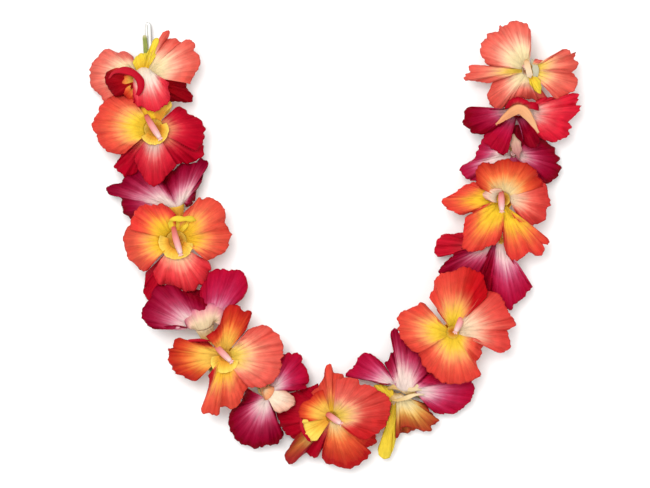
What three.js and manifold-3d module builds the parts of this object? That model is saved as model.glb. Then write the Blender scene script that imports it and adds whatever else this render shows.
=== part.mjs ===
// A fresh flower lei: sixteen ruffled blooms on a white cord, laid down in an open U.
// Millimetres, +Z up. The lei lies on z = 0, and the opening of the U is toward +Y.

import * as THREE from 'three';
import { mergeVertices } from 'three/addons/utils/BufferGeometryUtils.js';
import Module from 'manifold-3d';

const wasm = await Module();
wasm.setup();

// Driving dimensions
const CORD_RADIUS = 1.8;
const CORD_HEIGHT = 6.0;
const CORD_SIDES = 8;
const CORD_STEPS = 50;
const LOOP_LENGTH = 45.0;
const LOOP_STEPS = 18;
const CURVE_STEPS = 1200;
const HOLE_CLEARANCE = 0.4;

const FOOT_RADIUS = 6.2;
const FOOT_HEIGHT = 14.0;
const FOOT_FLAT_RADIUS = 3.6;
const FOOT_SHOULDER_HEIGHT = 4.6;
const FOOT_COLLAR = 0.6;
const FOOT_SIDES = 8;

const TUBE_WALL = 1.3;
const TUBE_NECK_RADIUS = 4.4;
const TUBE_SIDES = 8;
const TUBE_RINGS = 3;
const UPRIGHT_RINGS = 2;
const TUBE_START = 9.0;
const TUBE_FLARE = 1.5;
const TUBE_BEND = 0.45;
const TUBE_RISE = 0.27;
const FLOOR_HEIGHT = 15.0;
const MOUTH_CUT = 0.6;

const PETAL_THICKNESS = 0.9;
const PETAL_ROWS = 2;
const PETAL_LIFT = 0.2;
const ROOT_SINK = 1.4;
const ROOT_GAP = 4;
const RUFFLE = 1.4;
const RUFFLE_PITCH = 16.0;
const FEWEST_COLUMNS = 4;
const MOST_COLUMNS = 6;

const STYLE_RADIUS = 1.1;
const STYLE_SIDES = 4;
const STYLE_RINGS = 3;
const STYLE_GAP = 0.35;
const STYLE_SWELL = 0.7;
const STYLE_TURN = 0.7;
const HIDDEN_STYLE_TURN = 0.45;
const HIDDEN_STYLE_TIP = 0.86;

const STALK_RADIUS = 2.1;
const STALK_SIDES = 6;
const STALK_DEPTH = 2.6;
const STALK_GAP = 0.35;
const STALK_DROOP = 0.12;
const STALK_TAPER = 0.9;
const SOCKET_SPARE = 0.1;
const SOCKET_LENGTH = 5.6;

// The colour of each kind of bloom
const CORAL = { color: '#e8452f', roughness: 0.5 };
const SCARLET = { color: '#d0281f', roughness: 0.5 };
const ORANGE = { color: '#ec7428', roughness: 0.5 };
const MAGENTA = { color: '#a80f3f', roughness: 0.5 };
const WINE = { color: '#7d0a28', roughness: 0.5 };
const YELLOW = { color: '#dca52c', roughness: 0.5 };
const STYLE_PINK = { color: '#e8798a', roughness: 0.45 };
const STALK_GREEN = { color: '#7d8a3c', roughness: 0.6 };
const CORD_WHITE = { color: '#f1efe9', roughness: 0.7 };

// The blooms, from the top left end round to the top right end.
// centre: the bloom's middle, as [x, y]. foot: where the cord runs through it, from the centre.
// mouth: the middle of the tube's mouth, from the centre, with its height as the third number.
// axis: the way the mouth faces, as [compass angle, angle above level]. radius: of the mouth.
// A petal's root is the stretch of the mouth's rim that it grows from, as two angles.
// Its margin is a line of points round its free edge, each an angle and a reach from the centre.
// Its heights are those of its middle and of its margin.
const BLOOMS = [
  {
    finish: CORAL, centre: [-159.0, 148.8], foot: [2.5, 0], radius: 9,
    mouth: [-3, -5, 30], axis: [90, 90], style: [-7, -9, 31],
    stalk: { angle: 93, height: 11.4, side: -4.4, tip: 31.2 },
    petals: [
      { name: 'left', root: [145, 222], heights: [29, 12],
        margin: [[140, 18], [149, 30], [152, 41], [165, 45], [176, 49], [190, 50.5], [204, 47],
                 [215, 45], [226, 38]] },
      { name: 'right', root: [70, -5], heights: [34, 26],
        margin: [[68, 32], [60, 38], [55, 32], [47, 37], [39, 39], [32, 46], [24, 43], [10, 46],
                 [-3, 41], [-14, 38]] },
      { name: 'lip', root: [238, 335], heights: [38, 36],
        margin: [[247, 28], [260, 32], [279, 36.5], [290, 36], [309, 32], [330, 24], [342, 20]] },
      { name: 'fold', root: [350, 305], heights: [25, 20],
        margin: [[-8, 23], [-17, 34], [-28, 43], [-34, 46], [-41, 41], [-51, 32]] },
      { name: 'top', root: [75, 140], heights: [32, 33],
        margin: [[72, 16], [85, 14], [110, 14.5], [135, 14], [150, 13]] },
    ],
  },
  {
    finish: CORAL, centre: [-153.0, 98.6], foot: [0, 0], radius: 12,
    mouth: [0, 0, 30], axis: [90, 90], style: [-5, 8, 33],
    stalk: { angle: 180, height: 11, side: 0, tip: 20 },
    petals: [
      { name: 'left', root: [130, 212], heights: [35, 26],
        margin: [[128, 34], [137, 42], [148, 48.5], [160, 50], [173, 53], [185, 49.5], [198, 47],
                 [208, 40], [216, 32]] },
      { name: 'lower_left', root: [212, 240], heights: [24, 19],
        margin: [[214, 32], [221, 42], [228, 47.5], [238, 48], [244, 40]] },
      { name: 'bottom', root: [240, 300], heights: [32, 27],
        margin: [[238, 29], [248, 36], [257, 42], [268, 48], [279, 45], [288, 40], [298, 35]] },
      { name: 'lower_right', root: [-60, -24], heights: [25, 20],
        margin: [[-62, 32], [-51, 37], [-44, 42], [-34, 46.5], [-22, 42]] },
      { name: 'right', root: [40, -25], heights: [34, 28],
        margin: [[42, 20], [43, 26], [32, 31], [20, 34], [12, 40], [0, 43.5], [-10, 43.5],
                 [-20, 42], [-26, 33]] },
      { name: 'upper_right', root: [84, 40], heights: [28, 25],
        margin: [[86, 24], [70, 27], [57, 27], [48, 23], [40, 17]] },
      { name: 'top', root: [128, 88], heights: [28, 23],
        margin: [[126, 28], [112, 31], [98, 30], [88, 26]] },
    ],
  },
  {
    finish: MAGENTA, centre: [-136.0, 32.3], foot: [3, -9], radius: 9,
    mouth: [0, 8, 19], axis: [105, 25], stalk: { angle: 0, height: 11, side: 0, tip: 18 },
    petals: [
      { name: 'right', root: [285, 378], heights: [21, 16],
        margin: [[116, 24], [104, 27], [90, 32], [78, 38], [68, 41], [62, 47.5], [53, 47.5],
                 [50, 39], [42, 29], [28, 18], [6, 11]] },
      { name: 'left', root: [192, 285], heights: [22, 15],
        margin: [[202, 28], [193, 39], [182, 45], [172, 47], [168, 60], [160, 57], [148, 50],
                 [130, 49], [124, 38], [117, 24]] },
      { name: 'lower', root: [25, 185], heights: [15, 12],
        margin: [[22, 18], [50, 26], [80, 30], [110, 32], [140, 30], [170, 26], [192, 18]] },
    ],
  },
  {
    finish: CORAL, centre: [-134.3, 3.4], foot: [0, 0], radius: 12.5,
    mouth: [0, 0, 30], axis: [90, 90], style: [3.5, -9, 33],
    stalk: { angle: 180, height: 11, side: 0, tip: 20 },
    petals: [
      { name: 'upper_left', root: [98, 160], heights: [36, 32],
        margin: [[95, 24], [103, 28], [112, 34], [123, 36], [132, 41], [146, 42.5], [162, 39.5]] },
      { name: 'lower_left', root: [163, 226], heights: [34, 24],
        margin: [[163, 39], [170, 44.5], [180, 45], [197, 43.5], [211, 40], [222, 38],
                 [231, 30]] },
      { name: 'upper_right', root: [72, 24], heights: [36, 31],
        margin: [[71, 24], [64, 36], [60, 42], [54, 46], [45, 49], [33, 49], [26, 46], [22, 40]] },
      { name: 'lower_right', root: [19, -34], heights: [33, 26],
        margin: [[19, 40], [15, 45], [5, 47], [-7, 44], [-18, 39], [-27, 34], [-36, 30]] },
      { name: 'lip', root: [-38, -128], heights: [28, 17],
        margin: [[-34, 31], [-43, 38.5], [-56, 44], [-66, 44], [-74, 45.5], [-90, 40], [-111, 40],
                 [-122, 36], [-130, 29]] },
      { name: 'outer', root: [224, 240], heights: [17, 11],
        margin: [[224, 30], [231, 42], [237, 52], [245, 56], [250, 42]] },
      { name: 'roll', root: [102, 62], heights: [34, 36],
        margin: [[102, 17], [90, 22], [78, 22], [62, 17]] },
    ],
  },
  {
    finish: MAGENTA, centre: [-108.8, -72.3], foot: [1, -9], radius: 11,
    mouth: [-4, 9, 22], axis: [110, 30], stalk: { angle: 190, height: 11, side: 0, tip: 16 },
    petals: [
      { name: 'left', root: [198, 290], heights: [28, 27],
        margin: [[170, 20], [170, 32], [178, 42], [172, 53], [163, 57], [156, 56], [148, 55],
                 [141, 57], [134, 52], [124, 44], [115, 33], [102, 27], [91, 24]] },
      { name: 'right', root: [290, 382], heights: [27, 23],
        margin: [[98, 27], [95, 37], [89, 45], [83, 52], [69, 54.5], [60, 59], [54, 55], [46, 51],
                 [42, 44], [43, 36], [50, 29], [56, 23]] },
      { name: 'lower', root: [25, 190], heights: [15, 12],
        margin: [[28, 20], [60, 30], [90, 34], [120, 36], [150, 32], [190, 18]] },
    ],
  },
  {
    finish: ORANGE, centre: [-91.8, -95.2], foot: [0, 0], radius: 12,
    mouth: [-1, 1, 31], axis: [90, 90], style: [-6.5, 7.5, 34],
    stalk: { angle: 220, height: 11, side: 0, tip: 20 },
    petals: [
      { name: 'top', root: [128, 54], heights: [37, 34],
        margin: [[129, 23], [113, 24.5], [101, 28], [95, 34], [90, 42], [80, 45], [69, 42.5],
                 [61, 44.5], [57, 37], [50, 26]] },
      { name: 'right', root: [48, -48], heights: [37, 33],
        margin: [[50, 30], [45, 37], [38, 44], [27, 47], [16, 49], [1, 48], [-11, 48], [-25, 46],
                 [-37, 41], [-50, 30]] },
      { name: 'bottom', root: [224, 306], heights: [34, 28],
        margin: [[226, 22], [238, 28], [243, 40], [246, 51], [258, 51], [263, 46], [268, 42],
                 [279, 44.5], [288, 40], [296, 33], [308, 29]] },
      { name: 'left', root: [144, 208], heights: [33, 25],
        margin: [[140, 20], [152, 29], [158, 40], [163, 46], [172, 50], [181, 49.5], [193, 46],
                 [202, 41], [216, 34.5], [218, 29], [210, 20]] },
    ],
  },
  {
    finish: MAGENTA, centre: [-53.6, -127.5], foot: [-6, 4], radius: 9,
    mouth: [3, -2, 20], axis: [325, -25], stalk: { angle: 153, height: 13.5, side: 0, tip: 17 },
    petals: [
      { name: 'bottom', root: [262, 190], heights: [23, 16],
        margin: [[168, 20], [192, 26], [203, 38], [216, 45], [228, 48], [238, 50], [252, 48.5],
                 [264, 44], [277, 43], [287, 36.5], [285, 26], [281, 14]] },
      { name: 'upper_right', root: [28, 102], heights: [22, 17],
        margin: [[102, 24], [86, 31], [72, 36], [64, 39], [56, 42], [48, 40], [38, 37.5], [24, 35],
                 [11, 31], [10, 20]] },
      { name: 'lobe', root: [108, 180], heights: [27, 24],
        margin: [[12, 12], [-2, 18], [-15, 21.5], [-29, 20.5], [-52, 18], [-72, 14]] },
    ],
  },
  {
    finish: SCARLET, centre: [-1.7, -146.2], foot: [0, 1], radius: 10,
    mouth: [0, 0, 30], axis: [90, 90], style: [5, -5, 33],
    stalk: { angle: 250, height: 11, side: 0, tip: 18 },
    petals: [
      { name: 'right', root: [70, -36], heights: [36, 33],
        margin: [[78, 32], [62, 37.5], [50, 38], [41, 42], [30, 46], [18, 51], [4, 49], [-8, 46],
                 [-20, 41], [-34, 31], [-36, 20]] },
      { name: 'top', root: [124, 78], heights: [29, 22],
        margin: [[127, 26], [112, 29], [102, 34], [98, 42], [92, 44.5], [87, 38], [77, 38],
                 [74, 26]] },
      { name: 'upper_left', root: [116, 180], heights: [34, 35],
        margin: [[114, 24], [128, 24], [140, 24], [153, 27.5], [166, 28.5], [178, 26],
                 [186, 20]] },
      { name: 'left', root: [122, 206], heights: [19, 10],
        margin: [[122, 28], [134, 32], [149, 39], [162, 46], [178, 48], [196, 44], [208, 38],
                 [213, 28]] },
      { name: 'pointed', root: [206, 236], heights: [24, 11],
        margin: [[205, 32], [214, 42], [221, 54], [228, 55.5], [232, 46], [238, 34]] },
      { name: 'lower_left', root: [238, 256], heights: [25, 17],
        margin: [[236, 32], [240, 39], [250, 37], [253, 29]] },
      { name: 'bottom', root: [256, 330], heights: [29, 17],
        margin: [[250, 29], [258, 38], [272, 42], [283, 46], [296, 47.5], [308, 46.5], [317, 45.5],
                 [321, 41], [331, 43], [334, 32]] },
      { name: 'inner', root: [186, 236], heights: [32, 33],
        margin: [[184, 20], [192, 25], [206, 26], [222, 28], [234, 22]] },
    ],
  },
  {
    finish: YELLOW, centre: [58.7, -133.5], foot: [-11, 3], radius: 8,
    mouth: [-1, -4, 18], axis: [280, 20], stalk: { angle: 190, height: 10.6, side: 0, tip: 15 },
    petals: [
      { name: 'strap', root: [180, 140], heights: [18, 13],
        margin: [[234, 12], [241, 24], [243, 40], [247, 51], [256, 51], [259, 42], [261, 30],
                 [258, 12]] },
      { name: 'right', root: [130, 45], heights: [19, 15],
        margin: [[262, 26], [268, 23], [284, 23.5], [298, 27.5], [310, 34], [318, 34], [326, 34.5],
                 [333, 34], [342, 24], [350, 14]] },
      { name: 'lip', root: [212, 176], heights: [17, 15],
        margin: [[178, 12], [164, 20], [153, 28], [144, 25], [134, 14]] },
      { name: 'lower', root: [205, 360], heights: [10, 6],
        margin: [[205, 14], [235, 24], [270, 28], [305, 26], [340, 15]] },
    ],
  },
  {
    finish: MAGENTA, centre: [57.8, -122.4], foot: [8, -2], radius: 10,
    mouth: [3, 7, 21], axis: [75, 30], stalk: { angle: 330, height: 11, side: 0, tip: 15 },
    petals: [
      { name: 'upper_left', root: [162, 214], heights: [22, 16],
        margin: [[170, 15], [167, 32], [168, 48], [160, 47], [150, 45], [138, 44.5], [130, 36],
                 [127, 24], [134, 14]] },
      { name: 'top', root: [216, 296], heights: [23, 17],
        margin: [[130, 14], [123, 24], [110, 29], [100, 35], [101, 47], [96, 52], [89, 45],
                 [74, 41], [55, 38], [40, 32], [34, 24]] },
      { name: 'right', root: [298, 350], heights: [21, 14],
        margin: [[33, 20], [20, 31], [9, 45], [5, 58], [-4, 62], [-15, 57], [-26, 50], [-36, 36],
                 [-33, 24], [-20, 15]] },
      { name: 'lower', root: [-10, 160], heights: [14, 12],
        margin: [[-5, 20], [30, 26], [75, 30], [115, 26], [150, 16]] },
    ],
  },
  {
    finish: CORAL, centre: [102.0, -73.1], foot: [0, 0], radius: 12,
    mouth: [-1, -1, 31], axis: [90, 90], style: [5, 7.5, 34],
    stalk: { angle: 330, height: 11, side: 0, tip: 20 },
    petals: [
      { name: 'left', root: [148, 206], heights: [36, 30],
        margin: [[146, 20], [139, 30], [139, 38], [150, 41], [160, 48], [168, 49], [178, 47.5],
                 [190, 44.5], [203, 40], [208, 26]] },
      { name: 'bottom', root: [208, 334], heights: [35, 30],
        margin: [[210, 30], [220, 37], [234, 40.5], [250, 43], [266, 45], [284, 45], [300, 44],
                 [303, 35], [316, 30.5], [330, 28], [342, 25]] },
      { name: 'top', root: [130, 54], heights: [36, 32],
        margin: [[131, 18], [125, 28], [126, 36], [115, 40], [108, 49], [96, 50.5], [83, 55],
                 [66, 54], [54, 46], [51, 32]] },
      { name: 'right', root: [50, -14], heights: [35, 29],
        margin: [[50, 34], [47, 46], [36, 49.5], [22, 49], [9, 52.5], [0, 46], [-11, 49], [-20, 48],
                 [-26, 41], [-18, 26]] },
    ],
  },
  {
    finish: WINE, centre: [137.7, 0], foot: [2, 7], radius: 9,
    mouth: [2, -6, 18], axis: [275, 30], stalk: { angle: 355, height: 11, side: 0, tip: 15 },
    petals: [
      { name: 'lobe', root: [205, 165], heights: [18, 16],
        margin: [[156, 20], [164, 33], [168, 44], [176, 50], [184, 51.5], [191, 50], [192, 38],
                 [190, 22]] },
      { name: 'left', root: [162, 122], heights: [21, 18],
        margin: [[192, 20], [194, 36], [201, 48], [206, 54], [216, 50], [230, 42], [242, 33],
                 [246, 22]] },
      { name: 'middle', root: [120, 96], heights: [23, 19],
        margin: [[244, 22], [252, 38], [262, 41], [270, 38], [272, 24]] },
      { name: 'right', root: [92, 8], heights: [22, 16],
        margin: [[-92, 26], [-88, 44], [-79, 56], [-66, 52], [-56, 50], [-49, 48], [-50, 34],
                 [-48, 14]] },
      { name: 'lower', root: [200, 345], heights: [12, 11],
        margin: [[200, 18], [230, 26], [270, 33], [300, 32], [335, 16]] },
    ],
  },
  {
    finish: ORANGE, centre: [143.7, 39.1], foot: [0, 0], radius: 13,
    mouth: [0, 0, 31], axis: [90, 90], style: [-2, 10, 34],
    stalk: { angle: 0, height: 11, side: 0, tip: 20 },
    petals: [
      { name: 'top', root: [150, 26], heights: [37, 34],
        margin: [[152, 20], [142, 29], [130, 34.5], [116, 34], [105, 31], [92, 33.5], [78, 33],
                 [62, 36], [44, 36.5], [30, 36], [21, 34]] },
      { name: 'right', root: [20, -52], heights: [35, 28],
        margin: [[20, 37], [8, 38.5], [-5, 41], [-15, 38.5], [-26, 39.5], [-37, 36], [-47, 29],
                 [-56, 20]] },
      { name: 'left', root: [154, 198], heights: [33, 27],
        margin: [[152, 24], [158, 33], [169, 39], [176, 46], [182, 52.5], [189, 48], [200, 37],
                 [202, 28], [198, 19]] },
      { name: 'lower_left', root: [200, 264], heights: [37, 31],
        margin: [[200, 20], [206, 34], [216, 42], [226, 50], [234, 54], [244, 49], [252, 42],
                 [264, 36], [270, 26]] },
      { name: 'lower_right', root: [-92, -58], heights: [36, 27],
        margin: [[-90, 28], [-88, 44], [-81, 53], [-70, 52], [-61, 54], [-54, 57], [-48, 53],
                 [-42, 52], [-49, 38], [-56, 22]] },
    ],
  },
  {
    finish: MAGENTA, centre: [151.3, 76.5], foot: [0, 2], radius: 7,
    mouth: [2, 1, 20], axis: [90, 90], style: [2, 1, 21],
    stalk: { angle: 0, height: 11, side: 0, tip: 15 },
    petals: [
      { name: 'left', root: [136, 224], heights: [22, 16],
        margin: [[134, 27], [152, 28], [170, 28.5], [184, 31], [192, 42], [200, 45], [212, 40],
                 [222, 26]] },
      { name: 'right', root: [32, -42], heights: [20, 14],
        margin: [[36, 28], [22, 32], [10, 38], [0, 40], [-9, 41], [-20, 44.5], [-32, 41.5],
                 [-42, 36], [-43, 18]] },
      { name: 'upper', root: [84, 40], heights: [17, 13],
        margin: [[86, 24], [74, 28], [58, 29], [44, 26]] },
      { name: 'lower', root: [230, 312], heights: [18, 14],
        margin: [[230, 22], [250, 28], [270, 30], [290, 28], [310, 22]] },
    ],
  },
  {
    finish: WINE, centre: [156.4, 113.1], foot: [0, 7], radius: 10.5,
    mouth: [0, -4, 26], axis: [265, 40], stalk: { angle: 180, height: 11, side: 0, tip: 15 },
    petals: [
      { name: 'left', root: [148, 208], heights: [30, 24],
        margin: [[176, 16], [178, 30], [174, 40], [180, 45], [190, 47.5], [200, 44], [210, 38],
                 [214, 28], [216, 18]] },
      { name: 'lower_left', root: [212, 258], heights: [25, 24],
        margin: [[215, 26], [218, 36], [232, 38], [248, 38.5], [256, 34], [256, 22]] },
      { name: 'lower_right', root: [264, 312], heights: [26, 27],
        margin: [[260, 24], [272, 30], [290, 34], [306, 32], [314, 20]] },
      { name: 'right', root: [22, -42], heights: [30, 24],
        margin: [[26, 24], [20, 38], [18, 51], [13, 53], [6, 53.5], [-5, 48], [-12, 45], [-22, 48],
                 [-33, 43], [-43, 36], [-46, 20]] },
      { name: 'upper', root: [140, 40], heights: [35, 34],
        margin: [[166, 12], [130, 13], [98, 13], [60, 12], [30, 16], [6, 17]] },
    ],
  },
  {
    finish: CORAL, centre: [164.1, 149.6], foot: [0, -1], radius: 10,
    mouth: [0, -1, 30], axis: [90, 90], style: [-2, 1, 32],
    stalk: { angle: 20, height: 11, side: 0, tip: 18 },
    petals: [
      { name: 'top', root: [80, 168], heights: [35, 27],
        margin: [[79, 14], [84, 30], [92, 39], [105, 42.5], [116, 41.5], [123, 43], [129, 40],
                 [138, 44.5], [154, 44], [167, 38], [174, 28]] },
      { name: 'left', root: [172, 198], heights: [30, 22],
        margin: [[172, 22], [175, 34], [176, 46], [183, 50], [190, 54], [194, 42], [199, 32],
                 [198, 20]] },
      { name: 'bottom', root: [204, 296], heights: [26, 20],
        margin: [[200, 24], [208, 34], [216, 41], [232, 43.5], [241, 36], [250, 27], [270, 24.5],
                 [285, 27], [294, 36], [301, 32], [302, 22]] },
      { name: 'upper_right', root: [44, 0], heights: [34, 28],
        margin: [[46, 12], [24, 20], [28, 31], [24, 38.5], [18, 42], [11, 41], [4, 42.5],
                 [-1, 36]] },
      { name: 'lower_right', root: [-4, -40], heights: [33, 30],
        margin: [[-3, 34], [-9, 42], [-20, 44.5], [-33, 40], [-46, 34], [-42, 24]] },
      { name: 'lobe', root: [-46, -74], heights: [31, 31],
        margin: [[-46, 15], [-58, 23], [-68, 22], [-76, 13]] },
    ],
  },
];

// The cord's doubled end above the first bloom, from its tip, which lies on the surface, to where
// it goes in under the petals, as [x, y, z]
const LOOP = [
  [-160.4, 171, 1.8], [-160.8, 179, 1.8], [-160.9, 185.4, 2], [-160.6, 188.6, 2.8],
  [-159.7, 190, 4.2], [-158.8, 188.7, 5.5], [-158.5, 186, 6], [-158.2, 178, 6], [-157.6, 166, 6],
];
const CORD_END = [165.5, 165, 6];

// Small helpers

const UP = new THREE.Vector3(0, 0, 1);

const radians = (degrees) => THREE.MathUtils.degToRad(degrees);

function polar(angle, reach) {
  return new THREE.Vector2(reach * Math.cos(radians(angle)), reach * Math.sin(radians(angle)));
}

function solid(geometry) {
  const bare = geometry.clone();
  bare.deleteAttribute('normal');
  bare.deleteAttribute('uv');
  const merged = mergeVertices(bare, 1e-4);
  const vertProperties = new Float32Array(merged.attributes.position.array);
  const triVerts = new Uint32Array(merged.index.array);
  return new wasm.Manifold(new wasm.Mesh({ numProp: 3, vertProperties, triVerts }));
}

// The triangles in groups that share corners, so that a sealed hollow's wall is a group of its own
function shells(mesh) {
  const parent = Array.from({ length: mesh.vertProperties.length / 3 }, (_, index) => index);
  const rootOf = (index) => {
    let at = index;
    while (parent[at] !== at) {
      parent[at] = parent[parent[at]];
      at = parent[at];
    }
    return at;
  };
  for (let corner = 0; corner < mesh.triVerts.length; corner += 3) {
    const root = rootOf(mesh.triVerts[corner]);
    parent[rootOf(mesh.triVerts[corner + 1])] = root;
    parent[rootOf(mesh.triVerts[corner + 2])] = root;
  }
  const groups = new Map();
  for (let corner = 0; corner < mesh.triVerts.length; corner += 3) {
    const root = rootOf(mesh.triVerts[corner]);
    if (!groups.has(root)) groups.set(root, []);
    groups.get(root).push(...mesh.triVerts.slice(corner, corner + 3));
  }
  return [...groups.values()];
}

// The outer skin of a fused bloom: a hollow that fusing sealed is filled, a loose scrap is dropped
function geometryOf(manifold) {
  const mesh = manifold.getMesh();
  const skin = shells(mesh).reduce((most, group) => (group.length > most.length ? group : most));
  const geometry = new THREE.BufferGeometry();
  geometry.setAttribute('position', new THREE.BufferAttribute(mesh.vertProperties, 3));
  geometry.setIndex(skin);
  return mergeVertices(geometry.toNonIndexed(), 1e-4);
}

function indexed(points, triangles) {
  const geometry = new THREE.BufferGeometry().setFromPoints(points);
  geometry.setIndex(triangles);
  return geometry;
}

// A closed body through rings of points, each ring counter-clockwise seen from its end
function loft(rings) {
  const sides = rings[0].length;
  const points = rings.flat();
  const triangles = [];
  for (let ring = 0; ring + 1 < rings.length; ring += 1) {
    for (let side = 0; side < sides; side += 1) {
      const a = ring * sides + side;
      const b = ring * sides + (side + 1) % sides;
      triangles.push(a, b, b + sides, a, b + sides, a + sides);
    }
  }
  const last = (rings.length - 1) * sides;
  for (let side = 1; side + 1 < sides; side += 1) {
    triangles.push(0, side + 1, side);
    triangles.push(last, last + side, last + side + 1);
  }
  return indexed(points, triangles);
}

// A ring of points of one radius round a centre, square to an axis
function ringAt(centre, axis, radius, sides, turn = 0) {
  const tilt = new THREE.Quaternion().setFromUnitVectors(UP, axis);
  return Array.from({ length: sides }, (_, side) => {
    const angle = turn + (2 * Math.PI * side) / sides;
    const spoke = new THREE.Vector3(radius * Math.cos(angle), radius * Math.sin(angle), 0);
    return spoke.applyQuaternion(tilt).add(centre);
  });
}

// Where things are on a bloom

function placeOf(bloom) {
  const [x, y] = bloom.centre;
  const [compass, rise] = bloom.axis.map(radians);
  const level = Math.cos(rise);
  return {
    centre: new THREE.Vector3(x, y, 0),
    foot: new THREE.Vector3(x + bloom.foot[0], y + bloom.foot[1], 0),
    mouth: new THREE.Vector3(x + bloom.mouth[0], y + bloom.mouth[1], bloom.mouth[2]),
    axis: new THREE.Vector3(level * Math.cos(compass), level * Math.sin(compass), Math.sin(rise)),
  };
}

// The tube's middle line, from the foot's axis to the mouth's middle
function tubeLine(place, start) {
  const base = place.foot.clone().setZ(start);
  const length = base.distanceTo(place.mouth);
  return new THREE.CubicBezierCurve3(
    base,
    base.clone().addScaledVector(UP, length * TUBE_RISE),
    place.mouth.clone().addScaledVector(place.axis, -length * TUBE_BEND),
    place.mouth.clone(),
  );
}

function tubeRings(bloom, place, start, inset, past) {
  const line = tubeLine(place, start);
  const count = bloom.axis[1] === 90 ? UPRIGHT_RINGS : TUBE_RINGS;
  const rings = [];
  for (let ring = 0; ring <= count; ring += 1) {
    const t = ring / count;
    const flare = THREE.MathUtils.lerp(TUBE_NECK_RADIUS, bloom.radius, t ** TUBE_FLARE);
    const centre = line.getPoint(t);
    const axis = ring === 0 ? UP : line.getTangent(t);
    if (ring === count) centre.addScaledVector(axis, past);
    rings.push(ringAt(centre, axis, flare - inset, TUBE_SIDES));
  }
  return rings;
}

// A petal's face: across from side to side, out from its root at 0 to its margin at 1

function petalFace(bloom, place, petal, lift) {
  const tilt = new THREE.Quaternion().setFromUnitVectors(UP, place.axis);
  const margin = new THREE.CatmullRomCurve3(petal.margin.map(([angle, reach]) => {
    const point = polar(angle, reach);
    return new THREE.Vector3(point.x, point.y, 0).add(place.centre);
  }), false, 'centripetal');
  const waves = Math.max(1, Math.round(margin.getLength() / RUFFLE_PITCH));
  const [middle, tip] = petal.heights;
  return (across, out) => {
    const [first, last] = petal.root;
    const inset = Math.sign(last - first) * ROOT_GAP;
    const angle = radians(THREE.MathUtils.lerp(first + inset, last - inset, across));
    const rim = bloom.radius - TUBE_WALL / 2;
    const root = new THREE.Vector3(rim * Math.cos(angle), rim * Math.sin(angle), -ROOT_SINK);
    root.applyQuaternion(tilt).add(place.mouth);
    const edge = margin.getPointAt(across);
    const point = root.clone().lerp(edge, out);
    const fromRoot = root.z * (1 - out) * (1 - 2 * out);
    const fromMiddle = middle * 4 * out * (1 - out);
    const fromTip = tip * out * (2 * out - 1);
    const ruffle = RUFFLE * out * out * Math.sin(2 * Math.PI * waves * across);
    point.z = lift + fromRoot + fromMiddle + fromTip + ruffle;
    return point;
  };
}

// A thin closed sheet about a face, split into triangles alike above and below
function sheet(face, columns, rows, thickness) {
  const middle = [];
  for (let row = 0; row <= rows; row += 1) {
    for (let column = 0; column <= columns; column += 1) middle.push(face(column / columns, row / rows));
  }
  const across = columns + 1;
  const normalAt = (index) => {
    const row = Math.floor(index / across);
    const column = index % across;
    const left = middle[index - (column > 0 ? 1 : 0)];
    const right = middle[index + (column < columns ? 1 : 0)];
    const inner = middle[index - (row > 0 ? across : 0)];
    const outer = middle[index + (row < rows ? across : 0)];
    const side = right.clone().sub(left);
    const rise = outer.clone().sub(inner);
    return side.cross(rise).normalize();
  };
  const normals = middle.map((_, index) => normalAt(index));
  const facesDown = normals.reduce((sum, normal) => sum + normal.z, 0) < 0;
  if (facesDown) normals.forEach((normal) => normal.negate());
  const offset = (reach) => middle.map(
    (point, index) => point.clone().addScaledVector(normals[index], reach),
  );
  const upper = offset(thickness / 2);
  const lower = offset(-thickness / 2);
  const under = middle.length;
  const triangles = [];
  const quad = (a, b, c, d) => triangles.push(a, b, c, a, c, d);
  for (let row = 0; row < rows; row += 1) {
    for (let column = 0; column < columns; column += 1) {
      const a = row * across + column;
      triangles.push(a, a + 1, a + 1 + across, a, a + 1 + across, a + across);
      triangles.push(a + under, a + 1 + across + under, a + 1 + under);
      triangles.push(a + under, a + across + under, a + 1 + across + under);
    }
  }
  for (let column = 0; column < columns; column += 1) {
    const outer = rows * across + column;
    quad(column + 1, column, column + under, column + 1 + under);
    quad(outer, outer + 1, outer + 1 + under, outer + under);
  }
  for (let row = 0; row < rows; row += 1) {
    const left = row * across;
    const right = left + columns;
    quad(left, left + across, left + across + under, left + under);
    quad(right + across, right, right + under, right + across + under);
  }
  if (facesDown) triangles.reverse();
  return indexed([...upper, ...lower], triangles);
}

function petalColumns(petal) {
  return THREE.MathUtils.clamp(petal.margin.length - 2, FEWEST_COLUMNS, MOST_COLUMNS);
}

// The cord

function cordCurve() {
  const feet = BLOOMS.map((bloom) => placeOf(bloom).foot.setZ(CORD_HEIGHT));
  const loop = LOOP.map((point) => new THREE.Vector3(...point));
  const route = [...loop, ...feet, new THREE.Vector3(...CORD_END)];
  const curve = new THREE.CatmullRomCurve3(route, false, 'centripetal');
  curve.arcLengthDivisions = CURVE_STEPS;
  return curve;
}

// Shares of the cord's length, close together round its loop and wider apart after it
function cordStations(curve) {
  const loop = LOOP_LENGTH / curve.getLength();
  const stations = [];
  for (let step = 0; step < LOOP_STEPS; step += 1) stations.push((loop * step) / LOOP_STEPS);
  for (let step = 0; step <= CORD_STEPS; step += 1) {
    stations.push(THREE.MathUtils.lerp(loop, 1, step / CORD_STEPS));
  }
  return stations;
}

function cordRing(curve, share, radius) {
  const centre = curve.getPointAt(share);
  const way = curve.getTangentAt(share);
  const aside = way.clone().cross(UP).normalize();
  const over = way.clone().cross(aside);
  return Array.from({ length: CORD_SIDES }, (_, side) => {
    const angle = (2 * Math.PI * (side + 0.5)) / CORD_SIDES;
    return centre.clone()
      .addScaledVector(aside, radius * Math.cos(angle))
      .addScaledVector(over, radius * Math.sin(angle));
  });
}

function cordSolid(curve, radius) {
  return loft(cordStations(curve).map((share) => cordRing(curve, share, radius)));
}

// The pieces of one bloom

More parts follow.
